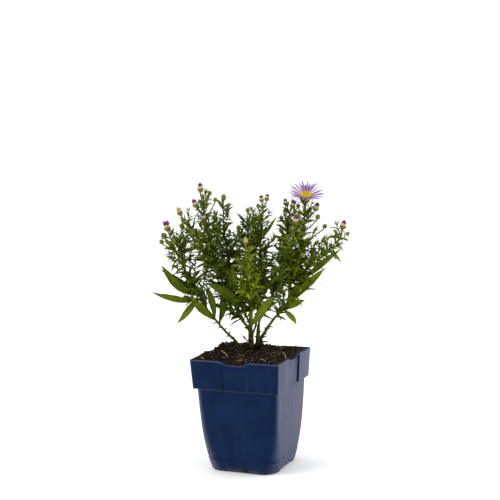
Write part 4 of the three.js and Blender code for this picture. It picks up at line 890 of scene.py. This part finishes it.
def bloom_rays():
    shape = Shape(PLANT_ORIGIN)
    share = np.linspace(0, 1, 11)
    profile = np.interp(share, RAY_STEPS, RAY_PROFILE)
    for i in range(RAYS):
        mix = [draw(i * 3.7 + j * 11.3 + 5) for j in range(8)]
        is_upper = i % 2 == 1
        turn = ((i + 0.5) / RAYS) * math.tau + 0.07 * (mix[0] - 0.5)
        reach = RAY_REACH * between(0.85, 1.0, mix[1])
        lift = RAY_LIFT + (0.1 if is_upper else 0) + between(-0.1, 0.1, mix[2])
        away = between(RAY_FOOT, reach, share)
        z = (-1.5 if is_upper else -2.1) + (away - RAY_FOOT) * math.tan(lift)
        z = z + between(0.2, 1.6, mix[3]) * 2 * share * (1 - share)
        z = z - between(0, 1.3, mix[4]) * share**3
        sway = between(-0.9, 0.9, mix[5]) * share**2
        ways = out_of_bloom(turn + sway / np.maximum(away, 1))
        path = bloom_middle + ways * away[:, None] + bloom_axis * z[:, None]
        out = out_of_bloom(turn)
        lean = np.cross(bloom_axis, out) * between(-0.5, 0.5, mix[6]) * share[:, None]
        normals = unit(bloom_axis - out * math.tan(lift) + lean)
        widths = RAY_WIDTH * between(0.85, 1.15, mix[7]) * profile
        add_blades(shape, [path], [widths], [normals], 0.18, 0.28, 4, mix[1])
    return shape


def bloom_disc():
    shape = Shape(PLANT_ORIGIN)
    add_round(shape, bloom_middle, bloom_axis, *DISC_CORE, 28, 0.2)
    for i in range(DISC_FLORETS):
        away = DISC_RADIUS * 0.96 * math.sqrt((i + 0.5) / DISC_FLORETS)
        turn = i * GOLDEN_TURN
        out = out_of_bloom(turn)
        foot = bloom_middle + out * away + bloom_axis * (1.65 - 0.052 * away**2)
        lean = unit(bloom_axis + out * 0.08 * away)
        is_open = away > OPEN_FLORETS_FROM
        scale, wide, spread = OPEN_FLORET if is_open else CLOSED_FLORET
        tall = between(0.85, 1.2, draw(i + 40)) * scale
        sizes, tone = wide * np.array(spread), away / DISC_RADIUS * 0.7 + 0.15
        add_round(shape, foot, lean, FLORET_RISE * tall, sizes, 6, tone, turn)
        for k in range(4 if is_open else 0):
            side, _ = frame_of(lean, turn + k / 4 * math.tau)
            path = [foot + lean * tall * up + side * wide * reach for up, reach in FLORET_LOBE]
            add_blades(shape, [path], [[0.22, 0.24, 0.03]], [lean], 0.07, 0, 2, 0.95)
    return shape


def bloom_cup():
    leader = leaders["right"]
    end = bloom_middle - bloom_axis * 8.6
    places = [leader.point(0.97), leader.point(1), end]
    add_twig(leader, places, 0.9, (0.9, 1.3), 9, 0.5 - leader.tone, 0.8)
    add_round(leader.bush.buds, bloom_middle, bloom_axis, *BLOOM_CUP, 20, 0.45)
    share = np.linspace(0, 1, 6)
    for number, (count, foot, top, breadth, spread) in enumerate(BLOOM_SCALES):
        high = between(foot, top, share)
        for i in range(count):
            side, _ = frame_of(bloom_axis, (i + 0.5 * (number % 2)) / count * math.tau)
            away = np.interp(high, *BLOOM_CUP) + 0.12 + 0.08 * number
            away = away + spread * share**3 * (0.5 + draw(i + 60))
            path = bloom_middle + bloom_axis * high[:, None] + side * away[:, None]
            widths = breadth * np.array([0.7, 0.95, 1, 0.8, 0.45, 0.05])
            add_blades(leader.bush.buds, [path], [widths], [side], 0.25, -0.1, 4, 0.5)


# Pot

body_curve = curve_through(BODY_ROWS, 0.5)[0].T


def around(z, half, corner, inset=0.0, sink=0.0, dip=0.0, lift=0.0, strip=0.0, scoop=0.0):
    """One row of the pot, counter-clockwise from the front face's left end."""
    reach = half - inset
    radius = max(corner - inset, 0.8)
    flat = reach - radius
    marks = np.array(FACE_MARKS)
    outer = np.array([(flat + 21) / 2, flat])
    x = np.concatenate([-outer[::-1], -marks[:0:-1], marks, outer])
    size = np.abs(x)
    back = (sink + scoop) * (1 - smooth(size - inset, *PANEL_EDGE))
    back = back + strip * (1 - smooth(size, *STRIP_EDGE))
    up = lift * (1 - smooth(size, *LIFT_EDGE)) - dip * (1 - smooth(size, *DIP_EDGE))
    side = np.stack([x, back - reach, z + up], 1)
    angles = (np.arange(1, ARC_POINTS + 1) / (ARC_POINTS + 1) - 1) * math.pi / 2
    arc_x, arc_y = flat + radius * np.cos(angles), radius * np.sin(angles) - flat
    arc = np.stack([arc_x, arc_y, np.full(ARC_POINTS, z)], 1)
    quarter = np.vstack([side, arc])
    turns = []
    for c, s in ((1, 0), (0, 1), (-1, 0), (0, -1)):
        x, y, z = quarter.T
        turns.append(np.stack([x * c - y * s, x * s + y * c, z], 1))
    return np.vstack(turns)


def body_at(z):
    """Half width and corner radius of the body."""
    heights, halves, corners = body_curve
    return np.interp(z, heights, halves), np.interp(z, heights, corners)


def rim_at(share):
    return between(RIM_FOOT_HALF, RIM_TOP_HALF, share)


def pulled_in(row, radius, z):
    """A round row with the bearings of another."""
    bearing = np.arctan2(row[:, 1], row[:, 0])
    return np.stack([np.cos(bearing) * radius, np.sin(bearing) * radius, np.full(len(row), z)], 1)


def pot_rows():
    """Rows from the middle of the base over the outside and the lip to the floor inside."""
    foot = BODY_ROWS[0][1:]
    skirt = around(0, *foot, lift=SIDE_LIFT, strip=STRIP_SINK)
    boss = (CORE, 0), (BOSS_RADIUS - 0.5, 0), (BOSS_RADIUS, 0.5), (BOSS_RADIUS + 1.5, SKIRT_ROOF)
    rows = [pulled_in(skirt, *place) for place in boss]

    def put(*sizes, **form):
        rows.append(around(*sizes, **form))

    put(SKIRT_ROOF, *foot, SKIRT_WALL)
    put(0.4, *foot, SKIRT_WALL - 0.2, lift=SIDE_LIFT)
    put(0, *foot, SKIRT_WALL - 0.5, lift=SIDE_LIFT)
    put(0, *foot, 0.3, lift=SIDE_LIFT, strip=STRIP_SINK * 0.7)
    put(0.35, *foot, 0, lift=SIDE_LIFT * 0.93, strip=STRIP_SINK)
    for z in BODY_HEIGHTS:
        half, corner = body_at(z)
        half = half + (BAND_STEP if z < BAND_TOP else 0)
        lift = SIDE_LIFT * max(0, 1 - z / 4)
        put(z, half, corner, lift=lift, strip=STRIP_SINK if z < STRIP_TOP else 0)
    half, corner = body_at(RIM_FOOT)
    put(RIM_FOOT - 0.5, half + 0.15, corner)
    put(RIM_FOOT - 0.05, half + 0.8, corner)
    panel = {"sink": PANEL_SINK}
    put(RIM_FOOT, RIM_FOOT_HALF - 0.6, RIM_CORNER + 0.2, **panel)
    put(RIM_FOOT + 0.1, RIM_FOOT_HALF - 0.15, RIM_CORNER, **panel)
    for share in RIM_SHARES:
        scoop = LIP_SCOOP * float(smooth(share, 0.84, 0.99))
        z = between(RIM_FOOT, POT_HEIGHT, share)
        dip = RIM_DIP * share
        put(z, rim_at(share), RIM_CORNER, dip=dip, scoop=scoop, **panel)
    for z, half, inset, scoop in (
        (POT_HEIGHT - 0.12, rim_at(1) - 0.03, 0.12, LIP_SCOOP),
        (POT_HEIGHT, rim_at(1), 0.45, LIP_SCOOP),
        (POT_HEIGHT, rim_at(1), WALL - 0.45, 0.8),
        (POT_HEIGHT - 0.15, rim_at(1), WALL - 0.1, 0.6),
    ):
        put(z, half, RIM_CORNER, inset, dip=RIM_DIP, scoop=scoop, **panel)
    for share in (0.98, 0.9, 0.7, 0.4, 0.1):
        z = between(RIM_FOOT, POT_HEIGHT, share)
        put(z, rim_at(share), RIM_CORNER, WALL, dip=RIM_DIP * share, **panel)
    ledge = RIM_FOOT + WALL + 0.3
    put(ledge, rim_at(0.05), RIM_CORNER, WALL, **panel)
    for z in (ledge, 80, 61, 36, FLOOR_TOP + 1, FLOOR_TOP):
        half, corner = body_at(min(z, RIM_FOOT))
        put(z, half, corner, WALL)
    rows.append(pulled_in(skirt, CORE, FLOOR_TOP))
    return rows


def drain_cutter():
    """Arched notches through the skirt, one on each side."""
    arch = [(DRAIN_HALF, -2)]
    for angle in np.linspace(0, math.pi, 9):
        rise = DRAIN_ARCH * (math.sin(angle) - 1)
        arch.append((DRAIN_HALF * math.cos(angle) * 0.9, DRAIN_HEIGHT + rise))
    arch.append((-DRAIN_HALF, -2))
    made = bmesh.new()
    for k in range(4):
        turn = Matrix.Rotation(k * math.pi / 2, 3, "Z")
        near, far = (
            [made.verts.new(turn @ Vector((DRAIN_SIDE + x, y, z)) * MM) for x, z in arch]
            for y in DRAIN_REACH
        )
        made.faces.new(near)
        made.faces.new(far[::-1])
        for i in range(len(arch)):
            j = (i + 1) % len(arch)
            made.faces.new((near[i], far[i], far[j], near[j]))
    bmesh.ops.recalc_face_normals(made, faces=made.faces)
    mesh = bpy.data.meshes.new("drain_cutter")
    made.to_mesh(mesh)
    made.free()
    return add_object("drain_cutter", mesh)


def is_step(rings):
    """The ledge under the rim, and the walls beside its four panels."""
    marks = np.array(FACE_MARKS)
    near = (marks > STEP_SPAN[0]) & (marks < STEP_SPAN[1])
    quarter = np.concatenate([[False] * 2, near[:0:-1], near, [False] * (2 + ARC_POINTS)])
    above = rings[..., 2] - RIM_FOOT
    return (np.abs(above) < LEDGE_SPAN) | (above > 0) & np.tile(quarter, 4)


def pot_shape():
    """The pot in one piece. Its tone is 1 on the lip, and its share across 1 at a step."""
    shape = Shape()
    rings = np.array(pot_rows())
    is_lip = np.zeros((len(rings), 1))
    is_lip[-LIP_ROWS[0]:-LIP_ROWS[1]] = 1
    add_rings(shape, rings, is_lip, rings[..., 2] / POT_HEIGHT, is_step(rings), 1)
    return shape


def cut_by(piece, cutter):
    cut = piece.modifiers.new("drains", "BOOLEAN")
    cut.object = cutter
    cut.operation = "DIFFERENCE"
    cut.solver = "EXACT"
    graph = bpy.context.evaluated_depsgraph_get()
    mesh = bpy.data.meshes.new_from_object(piece.evaluated_get(graph))
    piece.modifiers.clear()
    piece.data = mesh
    bpy.data.objects.remove(cutter)


# Soil


def soil_height(x, y):
    height = SOIL_LEVEL + 0 * x
    for hx, hy, rise, reach in HEAPS:
        height = height + rise * np.exp(-(((x - hx) ** 2 + (y - hy) ** 2) / reach**2))
    return height


def rough(x, y):
    """Lumps of the soil's surface."""
    lumps = ((1.3, 0.09, 0), (0.9, 0.28, 7), (0.45, 0.8, 13))
    return sum(size * noise.noise(Vector((x * fine, y * fine, z))) for size, fine, z in lumps)


def soil_shape():
    shape = Shape()
    inset = WALL + FIT_GAP
    panel = {"sink": PANEL_SINK}
    rows = [around(z, *body_at(min(z, RIM_FOOT)), inset) for z in SOIL_HEIGHTS]
    rows.append(around(RIM_FOOT + 2.4, RIM_FOOT_HALF, RIM_CORNER, inset + 0.1, **panel))
    rows.append(around(114, rim_at(0.6), RIM_CORNER, inset, dip=RIM_DIP * 0.6, **panel))
    top = POT_HEIGHT - SOIL_BELOW_RIM
    share = 1 - SOIL_BELOW_RIM / (POT_HEIGHT - RIM_FOOT)
    edge = around(top, rim_at(share) - FIT_GAP, RIM_CORNER, inset, dip=RIM_DIP * share, **panel)
    rows.append(edge)
    for share in SOIL_SHARES:
        flat = between(np.array(SOIL_MIDDLE), edge[:, :2], share)
        bumps = np.array([rough(x, y) for x, y in flat])
        near_edge = float(smooth(share, 0.9, 1.0)) ** 2
        height = between(soil_height(*flat.T) + bumps, edge[:, 2] + 0.4 * bumps, near_edge)
        rows.append(np.column_stack([flat, height]))
    add_rings(shape, np.array(rows), 0.5, 0, 0, 0)
    return shape


def is_inside(x, y, margin):
    return abs(x) < SOIL_HALF - margin and abs(y) < SOIL_HALF - margin


def crumb_shape():
    shape = Shape()
    made = bmesh.new()
    bmesh.ops.create_icosphere(made, subdivisions=2, radius=1)
    base = np.array([v.co[:] for v in made.verts])
    faces = np.array([[v.index for v in face.verts] for face in made.faces])
    made.free()
    rng = np.random.default_rng(11)
    for _ in range(CRUMBS):
        x, y = rng.uniform(-CRUMB_REACH, CRUMB_REACH, 2)
        if not is_inside(x, y, 3.2):
            continue
        size = 0.35 + 1.6 * rng.random() ** 3.4
        stretch = rng.uniform(0.6, 1.3, 3)
        lumps = 1 + 0.28 * np.sin(base @ rng.normal(0, 2.6, (3, 3))).sum(1) / 1.5
        spin = np.linalg.qr(rng.normal(0, 1, (3, 3)))[0]
        points = (base * lumps[:, None] * stretch) @ spin * size
        z = float(soil_height(x, y)) + rough(x, y) + size * rng.uniform(0.0, 0.45)
        if size < 0.8 or abs(x) < 46 and abs(y) < 46:
            shape.add(points + [x, y, z], [faces], rng.random(), rng.random(), 0.5, 1)
    return shape


def straw_shape():
    shape = Shape()
    for start, end, radius in STRAW_PLACES:
        middle = (np.array(start) + end) / 2 + [0.4, 0.2, 0.7]
        points, _ = curve_through([start, middle, end], 1.5)
        add_tube(shape, points, np.full(len(points), radius), 6, 0.9)
    rng = np.random.default_rng(23)
    foot_x, foot_y, foot_radius = STEM_FOOT
    for _ in range(STRAWS):
        x, y = rng.uniform(-STRAW_REACH, STRAW_REACH, 2)
        if math.hypot(x - foot_x, y - foot_y) < foot_radius:
            continue
        turn = rng.uniform(0, math.tau)
        half = np.array([math.cos(turn), math.sin(turn)]) * (3 + 13 * rng.random() ** 2) / 2
        ends = [np.array([x, y]) + half * side for side in (-1, 0, 1)]
        if not all(is_inside(*end, 3) for end in ends):
            continue
        lift = rng.uniform(0, 1.8, 3) + [0, 0.4, 0]
        heights = [soil_height(*end) + rough(*end) * 0.6 for end in ends]
        bent, _ = curve_through(np.column_stack([ends, heights + lift]), 1.2)
        radius = rng.uniform(0.1, 0.22)
        radii = radius * np.linspace(1, rng.uniform(0.5, 1), len(bent))
        add_tube(shape, bent, radii, 5, rng.random())
    return shape


# Materials. Colours are sRGB numbers up to 255.


def rgb(*values):
    shares = [v / 255 for v in values]
    return (*[s / 12.92 if s <= 0.04045 else ((s + 0.055) / 1.055) ** 2.4 for s in shares], 1.0)


class Nodes:
    """The node tree of a material or a world."""

    def __init__(self, owner):
        owner.use_nodes = True
        self.owner, self.nodes, self.links = owner, owner.node_tree.nodes, owner.node_tree.links

    def add(self, kind, settings=None, **inputs):
        made = self.nodes.new("ShaderNode" + kind)
        for key, value in (settings or {}).items():
            setattr(made, key, value)
        for key, value in inputs.items():
            self.feed(made.inputs[key], value)
        return made

    def feed(self, socket, value):
        if isinstance(value, bpy.types.NodeSocket):
            self.links.new(value, socket)
        else:
            socket.default_value = value

    def math(self, operation, a, b=0.0, c=0.0):
        made = self.add("Math", {"operation": operation})
        for socket, value in zip(made.inputs, (a, b, c)):
            self.feed(socket, value)
        return made.outputs[0]

    def plus(self, a, b):
        return self.math("ADD", a, b)

    def times(self, a, b):
        return self.math("MULTIPLY", a, b)

    def fit(self, value, low, high, to_low=0.0, to_high=1.0):
        made = self.add("MapRange", {"interpolation_type": "SMOOTHSTEP"})
        for socket, one in zip(made.inputs, (value, low, high, to_low, to_high)):
            self.feed(socket, one)
        return made.outputs[0]


class Paint(Nodes):
    """A shader, with the object's own coordinates and the grown attribute at hand."""

    def __init__(self, name):
        super().__init__(bpy.data.materials.new(name))
        self.shader = self.nodes["Principled BSDF"]
        self.place = self.add("TexCoord").outputs["Object"]
        grown = self.add("Attribute", {"attribute_name": "grown"})
        split = self.add("SeparateColor", Color=grown.outputs["Color"])
        self.tone, self.along, self.across = split.outputs[:3]
        self.upper = grown.outputs["Alpha"]

    def noise(self, scale, detail, roughness=0.55, stretch=None, distortion=0.0):
        place = self.place
        if stretch:
            place = self.add("Mapping", Vector=place, Scale=stretch).outputs[0]
        made = self.add("TexNoise", Vector=place, Scale=scale, Detail=detail)
        self.feed(made.inputs["Roughness"], roughness)
        self.feed(made.inputs["Distortion"], distortion)
        return made.outputs["Fac"]

    def from_rib(self):
        """Distance from the middle of a blade, 0.5 at its edges."""
        return self.math("ABSOLUTE", self.math("SUBTRACT", self.across, 0.5))

    def vary(self, noise, low, high):
        """A noise, fitted to run from low to high."""
        return self.fit(noise, 0.3, 0.7, low, high)

    def mix(self, factor, a, b):
        made = self.add("Mix", {"data_type": "RGBA"})
        for index, value in ((0, factor), (6, a), (7, b)):
            self.feed(made.inputs[index], rgb(*value) if isinstance(value, tuple) else value)
        return made.outputs[2]

    def ramp(self, factor, *stops):
        made = self.add("ValToRGB", Fac=factor)
        elements = made.color_ramp.elements
        while len(elements) < len(stops):
            elements.new(0.5)
        for element, (position, *color) in zip(elements, stops):
            element.position = position
            element.color = rgb(*color)
        return made.outputs["Color"]

    def bump(self, height, strength, distance):
        made = self.add("Bump", Height=height, Strength=strength, Distance=distance * MM)
        return made.outputs["Normal"]

    def finish(self, color, roughness, normal=None, **fixed):
        self.feed(self.shader.inputs["Base Color"], color)
        self.feed(self.shader.inputs["Roughness"], roughness)
        if normal:
            self.feed(self.shader.inputs["Normal"], normal)
        for key, value in fixed.items():
            self.shader.inputs[key.replace("_", " ")].default_value = value
        return self.owner


LEAF_GLOSS = {"Specular_IOR_Level": 0.2, "Specular_Tint": (1, 1, 0.4, 1)}


def leaf_paint():
    p = Paint("leaf_blade")
    blotch = p.noise(260, 3)
    tone = p.plus(p.tone, p.vary(blotch, -0.1, 0.1))
    face = p.ramp(
        tone, (0, 32, 40, 2), (0.35, 63, 77, 3), (0.6, 96, 112, 6), (0.85, 128, 144, 14),
        (1, 156, 170, 28),
    )
    off = p.from_rib()
    rib = p.fit(off, 0, 0.05, 1, 0)
    face = p.mix(p.times(rib, 0.55), face, (126, 142, 56))
    ribs = p.math("SINE", p.math("MULTIPLY_ADD", p.along, 95, p.times(off, -44)))
    face = p.mix(p.fit(ribs, 0.72, 1, 0, 0.22), face, (110, 128, 36))
    face = p.mix(p.fit(off, 0.42, 0.5, 0, 0.35), face, (56, 70, 10))
    under = p.mix(0.5, face, (94, 110, 50))
    face = p.mix(p.fit(p.upper, 0.35, 0.6), under, face)
    dry = p.times(p.fit(p.along, 0.93, 1), p.fit(p.noise(40, 2), 0.5, 0.66))
    face = p.mix(dry, face, (122, 96, 42))
    height = p.plus(p.times(ribs, 0.35), p.times(p.noise(1900, 2), 0.6))
    gloss = p.vary(blotch, 0.46, 0.6)
    return p.finish(face, gloss, p.bump(height, 0.35, 0.18), **LEAF_GLOSS)


def stem_paint():
    p = Paint("stem_skin")
    streak = p.noise(420, 4, 0.6, (1, 1, 0.12))
    tone = p.plus(p.tone, p.vary(streak, -0.12, 0.12))
    green = p.ramp(tone, (0.2, 50, 60, 10), (0.5, 80, 94, 16), (0.9, 126, 142, 36))
    bark = p.ramp(streak, (0.3, 36, 29, 6), (0.5, 74, 66, 16), (0.7, 110, 101, 40))
    woody = p.fit(p.plus(p.along, p.vary(p.noise(160, 3), -0.08, 0.08)), 0.02, 0.2, 0.85, 0)
    color = p.mix(woody, green, bark)
    color = p.mix(p.fit(p.tone, -0.3, 0, 1, 0), color, (44, 30, 14))
    return p.finish(color, p.vary(streak, 0.5, 0.72), p.bump(streak, 0.5, 0.25), **LEAF_GLOSS)


def bud_paint():
    p = Paint("bud_scales")
    spot = p.noise(700, 3)
    tone = p.plus(p.tone, p.vary(spot, -0.15, 0.15))
    green = p.ramp(tone, (0.2, 66, 76, 14), (0.5, 94, 103, 22), (0.9, 124, 130, 40))
    off = p.from_rib()
    color = p.mix(p.fit(off, 0.25, 0.47, 0, 0.6), green, (176, 180, 112))
    spine = p.times(p.fit(off, 0, 0.16, 1, 0), p.fit(p.along, 0.35, 0.9))
    color = p.mix(p.times(spine, 0.7), color, (64, 88, 24))
    blush = p.times(p.fit(p.along, 0.7, 1), p.fit(p.noise(90, 2), 0.38, 0.54))
    color = p.mix(p.times(blush, 0.8), color, (112, 66, 66))
    cream = p.ramp(p.along, (0, 132, 134, 70), (0.35, 196, 182, 138), (1, 226, 206, 178))
    color = p.mix(p.fit(p.tone, 1.3, 1.7), color, cream)
    return p.finish(color, p.vary(spot, 0.45, 0.6), p.bump(spot, 0.3, 0.1), **LEAF_GLOSS)


def bud_petal_paint():
    p = Paint("furled_petal")
    streak = p.noise(900, 3, 0.5, (1, 1, 0.4))
    violet = p.ramp(p.tone, (0, 58, 30, 52), (0.4, 92, 46, 96), (0.8, 128, 66, 170))
    violet = p.mix(p.fit(streak, 0.35, 0.65, 0, 0.45), violet, (60, 20, 66))
    pale = p.plus(p.along, p.vary(streak, -0.09, 0.09))
    color = p.mix(p.fit(pale, 0.2, 0.4), (222, 204, 178), violet)
    is_pale = p.fit(p.tone, 1.3, 1.7)
    color = p.mix(is_pale, color, p.mix(p.along, (190, 180, 118), (140, 144, 66)))
    gloss = p.vary(streak, 0.5, 0.62)
    return p.finish(color, gloss, p.bump(streak, 0.4, 0.12), Specular_IOR_Level=0.3)


def ray_paint():
    p = Paint("ray_petal")
    off = p.from_rib()
    color = p.ramp(
        p.along, (0, 190, 152, 196), (0.3, 170, 124, 184), (0.75, 151, 105, 177),
        (1, 110, 71, 150),
    )
    color = p.mix(p.fit(p.noise(500, 3), 0.35, 0.65, 0, 0.3), color, (190, 152, 200))
    lines = p.math("SINE", p.times(p.across, 32))
    color = p.mix(p.fit(lines, 0.2, 1, 0, 0.3), color, (124, 83, 158))
    color = p.mix(p.fit(off, 0.32, 0.5, 0, 0.6), color, (104, 72, 150))
    color = p.mix(p.fit(p.upper, 0.35, 0.65, 0.35, 0), color, (132, 100, 166))
    soft = {"Specular_IOR_Level": 0.3, "Sheen_Weight": 0.15}
    return p.finish(color, p.fit(lines, -1, 1, 0.5, 0.62), p.bump(lines, 0.5, 0.12), **soft)


def disc_paint():
    p = Paint("disc_floret")
    spot = p.noise(1500, 3)
    color = p.ramp(
        p.plus(p.tone, p.vary(spot, -0.12, 0.12)), (0.1, 196, 176, 8), (0.45, 218, 194, 8),
        (0.8, 228, 202, 12), (1, 226, 194, 14),
    )
    color = p.mix(p.fit(p.along, 0, 0.35, 0.4, 0), color, (160, 134, 6))
    gloss = p.vary(spot, 0.55, 0.75)
    return p.finish(color, gloss, p.bump(spot, 0.4, 0.1), Specular_IOR_Level=0.25)


def soil_paint():
    p = Paint("peat")
    grain = p.noise(420, 6, 0.7)
    clod = p.noise(110, 4, 0.6)
    color = p.ramp(
        grain, (0.3, 8, 5, 3), (0.5, 27, 19, 12), (0.64, 44, 34, 23), (0.8, 76, 60, 42)
    )
    color = p.mix(p.fit(clod, 0.35, 0.65, 0.6, 0), color, (10, 7, 5))
    fibre = p.noise(900, 3, 0.5, (0.25, 1, 1), 2)
    color = p.mix(p.fit(fibre, 0.66, 0.74, 0, 0.6), color, (140, 108, 62))
    cells = p.add("TexVoronoi", Vector=p.place, Scale=520).outputs["Distance"]
    height = p.plus(grain, p.times(cells, 0.6))
    gloss = p.vary(grain, 0.7, 0.95)
    return p.finish(color, gloss, p.bump(height, 0.9, 0.8), Specular_IOR_Level=0.12)


def crumb_paint():
    p = Paint("peat_crumb")
    grain = p.noise(600, 5, 0.65)
    dark = p.ramp(grain, (0.3, 8, 6, 4), (0.55, 28, 20, 13), (0.75, 54, 42, 29))
    warm = p.ramp(grain, (0.3, 44, 31, 18), (0.6, 84, 64, 40), (0.8, 122, 100, 68))
    red = p.ramp(grain, (0.3, 44, 18, 16), (0.7, 98, 46, 38))
    color = p.mix(p.fit(p.tone, 0.88, 0.94), dark, warm)
    color = p.mix(p.fit(p.tone, 0.975, 0.99), color, red)
    gloss = p.vary(grain, 0.7, 0.95)
    return p.finish(color, gloss, p.bump(grain, 0.8, 0.4), Specular_IOR_Level=0.12)


def straw_paint():
    p = Paint("straw")
    streak = p.noise(500, 3, 0.5)
    color = p.ramp(
        p.plus(p.tone, p.vary(streak, -0.15, 0.15)), (0.1, 50, 34, 22), (0.4, 88, 66, 40),
        (0.7, 136, 110, 72), (1, 188, 164, 118),
    )
    gloss = p.vary(streak, 0.6, 0.8)
    return p.finish(color, gloss, p.bump(streak, 0.5, 0.15), Specular_IOR_Level=0.3)


def pot_paint():
    """Blue plastic with dust, a lighter lip, a soiled foot, and a grey sheen painted into the
    colour where a face stands at a slant.
    """
    p = Paint("pot_plastic")
    cloud = p.noise(28, 4, 0.6)
    flow = p.noise(160, 3, 0.55, (1, 1, 0.08))
    color = p.ramp(cloud, (0.3, 8, 27, 59), (0.5, 10, 32, 67), (0.7, 14, 37, 75))
    color = p.mix(p.fit(flow, 0.4, 0.7, 0, 0.25), color, (17, 41, 82))
    speck = p.fit(p.noise(1100, 5, 0.75), 0.6, 0.75)
    dust = p.times(speck, p.fit(p.along, 0.55, 1, 0.04, 0.3))
    color = p.mix(dust, color, (122, 124, 136))
    # The lip rows turn a lighter blue-grey in noisy patches.
    lip = p.times(p.fit(p.tone, 0.55, 1), p.fit(p.noise(340, 4, 0.7), 0.3, 0.6, 0.1, 0.45))
    color = p.mix(lip, color, (92, 106, 142))
    low = p.fit(p.along, 0, 0.09, 1, 0)
    soiled = p.times(low, p.fit(p.noise(240, 4, 0.65), 0.45, 0.65, 0, 0.5))
    color = p.mix(soiled, color, (58, 52, 50))
    # Painted reflection: the base colour turns grey-blue where a face stands at a slant to the
    # view, weaker on the steps. It stands in for the white room's sheen on the plastic.
    slant = p.add("LayerWeight", Blend=0.5).outputs["Facing"]
    painted_sheen = p.times(p.fit(slant, 0.12, 0.5), p.fit(p.across, 0, 0.8, 1, 0.25))
    color = p.mix(painted_sheen, color, p.mix(p.vary(flow, 0, 1), (64, 71, 92), (76, 83, 104)))
    gloss = p.plus(p.vary(cloud, 0.3, 0.4), p.times(dust, 0.4))
    gloss = p.plus(gloss, p.times(lip, 0.3))
    height = p.plus(p.times(flow, 0.8), p.times(p.noise(2400, 2), 0.35))
    return p.finish(color, gloss, p.bump(height, 0.22, 0.12), Specular_IOR_Level=0.05)


# Assembly


def add_piece(name, data, paint, slot, *nodes):
    mesh = data.mesh(name) if isinstance(data, Shape) else data
    piece = add_object(name, mesh)
    mesh.materials.append(paint)
    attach(piece, "root")
    if nodes:
        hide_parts(*nodes)
    return piece


for leader in leaders.values():
    grow_leader(leader)
    dried_stubs(leader)
    leader_leaves(leader)
    grow_shoots(leader)
broken_twigs()
for rows, grow in (
    (SIDE_SHOOTS, grow_side_shoot), (LARGE_LEAVES, grow_large_leaf), (BUDS, grow_bud),
):
    for index, (name, height, *sizes) in enumerate(rows):
        leader = leaders[name]
        grow(leader, leader.share_at(height), index, *sizes)
bloom_cup()

leaf = leaf_paint()
stem = stem_paint()
cup = bud_paint()
for name, leader in leaders.items():
    if leader.parent:
        continue
    bush, node = leader.bush, "leafy_stem_" + name
    bush.finish()
    add_piece("stems_" + name, bush.stems, stem, "leaf", node)
    add_piece("leaves_" + name, bush.leaves, leaf, "leaf", node)
    add_piece("buds_" + name, bush.buds, cup, "leaf", node)

bud_nodes = [node for node in frame["nodes"] if node.startswith("bud_petals")]
add_piece("bud_petal_tips", petal_shape, bud_petal_paint(), "bud_petal", *bud_nodes)
add_piece("bloom_ray_petals", bloom_rays(), ray_paint(), "ray_petal", "bloom_rays")
add_piece("bloom_disc_florets", bloom_disc(), disc_paint(), "disc", "bloom_disc")
pot = add_piece("pot_body", pot_shape(), pot_paint(), "pot_plastic", "pot")
cut_by(pot, drain_cutter())
add_piece("soil_surface", soil_shape(), soil_paint(), "soil", "potting_soil")
add_piece("soil_crumbs", crumb_shape(), crumb_paint(), "soil")
add_piece("soil_straws", straw_shape(), straw_paint(), "soil")

# Stage


def add_floor():
    mesh = bpy.data.meshes.new("floor")
    corners = [(x * FLOOR_HALF, y * FLOOR_HALF, 0) for x, y in ((-1, -1), (1, -1), (1, 1), (-1, 1))]
    mesh.from_pydata(corners, [], [(0, 1, 2, 3)])
    p = Paint("pale_floor")
    color = p.ramp(p.noise(3, 2), (0.3, 246, 246, 247), (0.7, 250, 250, 250))
    mesh.materials.append(p.finish(color, 0.9))
    add_object("floor", mesh)


def add_light(name, place, target, size, power):
    data = bpy.data.lights.new(name, "AREA")
    data.shape = "DISK"
    data.size = size
    data.energy = power
    light = add_object(name, data)
    light.location = place
    way = Vector(target) - Vector(place)
    light.rotation_euler = way.to_track_quat("-Z", "Y").to_euler()


def add_camera():
    data = bpy.data.cameras.new("camera")
    data.lens = CAMERA_LENS
    data.sensor_width = CAMERA_SENSOR
    data.clip_start, data.clip_end = 0.05, 50
    turns = ((CAMERA_AZIMUTH, "Z"), (math.pi / 2 - CAMERA_ELEVATION, "X"), (CAMERA_ROLL, "Z"))
    camera = add_object("camera", data)
    camera.matrix_world = Matrix.Translation(Vector(CAMERA_PLACE) * MM)
    for angle, axis in turns:
        camera.matrix_world = camera.matrix_world @ Matrix.Rotation(angle, 4, axis)
    bpy.context.scene.camera = camera


def add_world():
    """White to the eye; its light is strong from behind and above, and dim from the front."""
    n = Nodes(bpy.data.worlds.new("white_room"))
    way = n.add("TexCoord").outputs["Generated"]
    shares = []
    for direction, *span in WORLD_LIGHT:
        along = n.add("VectorMath", {"operation": "DOT_PRODUCT"})
        n.feed(along.inputs[0], way)
        n.feed(along.inputs[1], direction)
        shares.append(n.fit(along.outputs["Value"], *span))
    light = n.plus(*shares)
    seen = n.add("Mix")
    is_seen = n.add("LightPath").outputs["Is Camera Ray"]
    for index, value in ((0, is_seen), (2, light), (3, SEEN_WHITE)):
        n.feed(seen.inputs[index], value)
    back = n.nodes["Background"].inputs
    n.feed(back["Strength"], seen.outputs[0])
    n.feed(back["Color"], (1, 1, 1, 1))
    bpy.context.scene.world = n.owner
    bpy.context.scene.view_settings.view_transform = "Standard"


add_floor()
add_world()
for row in LIGHTS:
    add_light(*row)
add_camera()
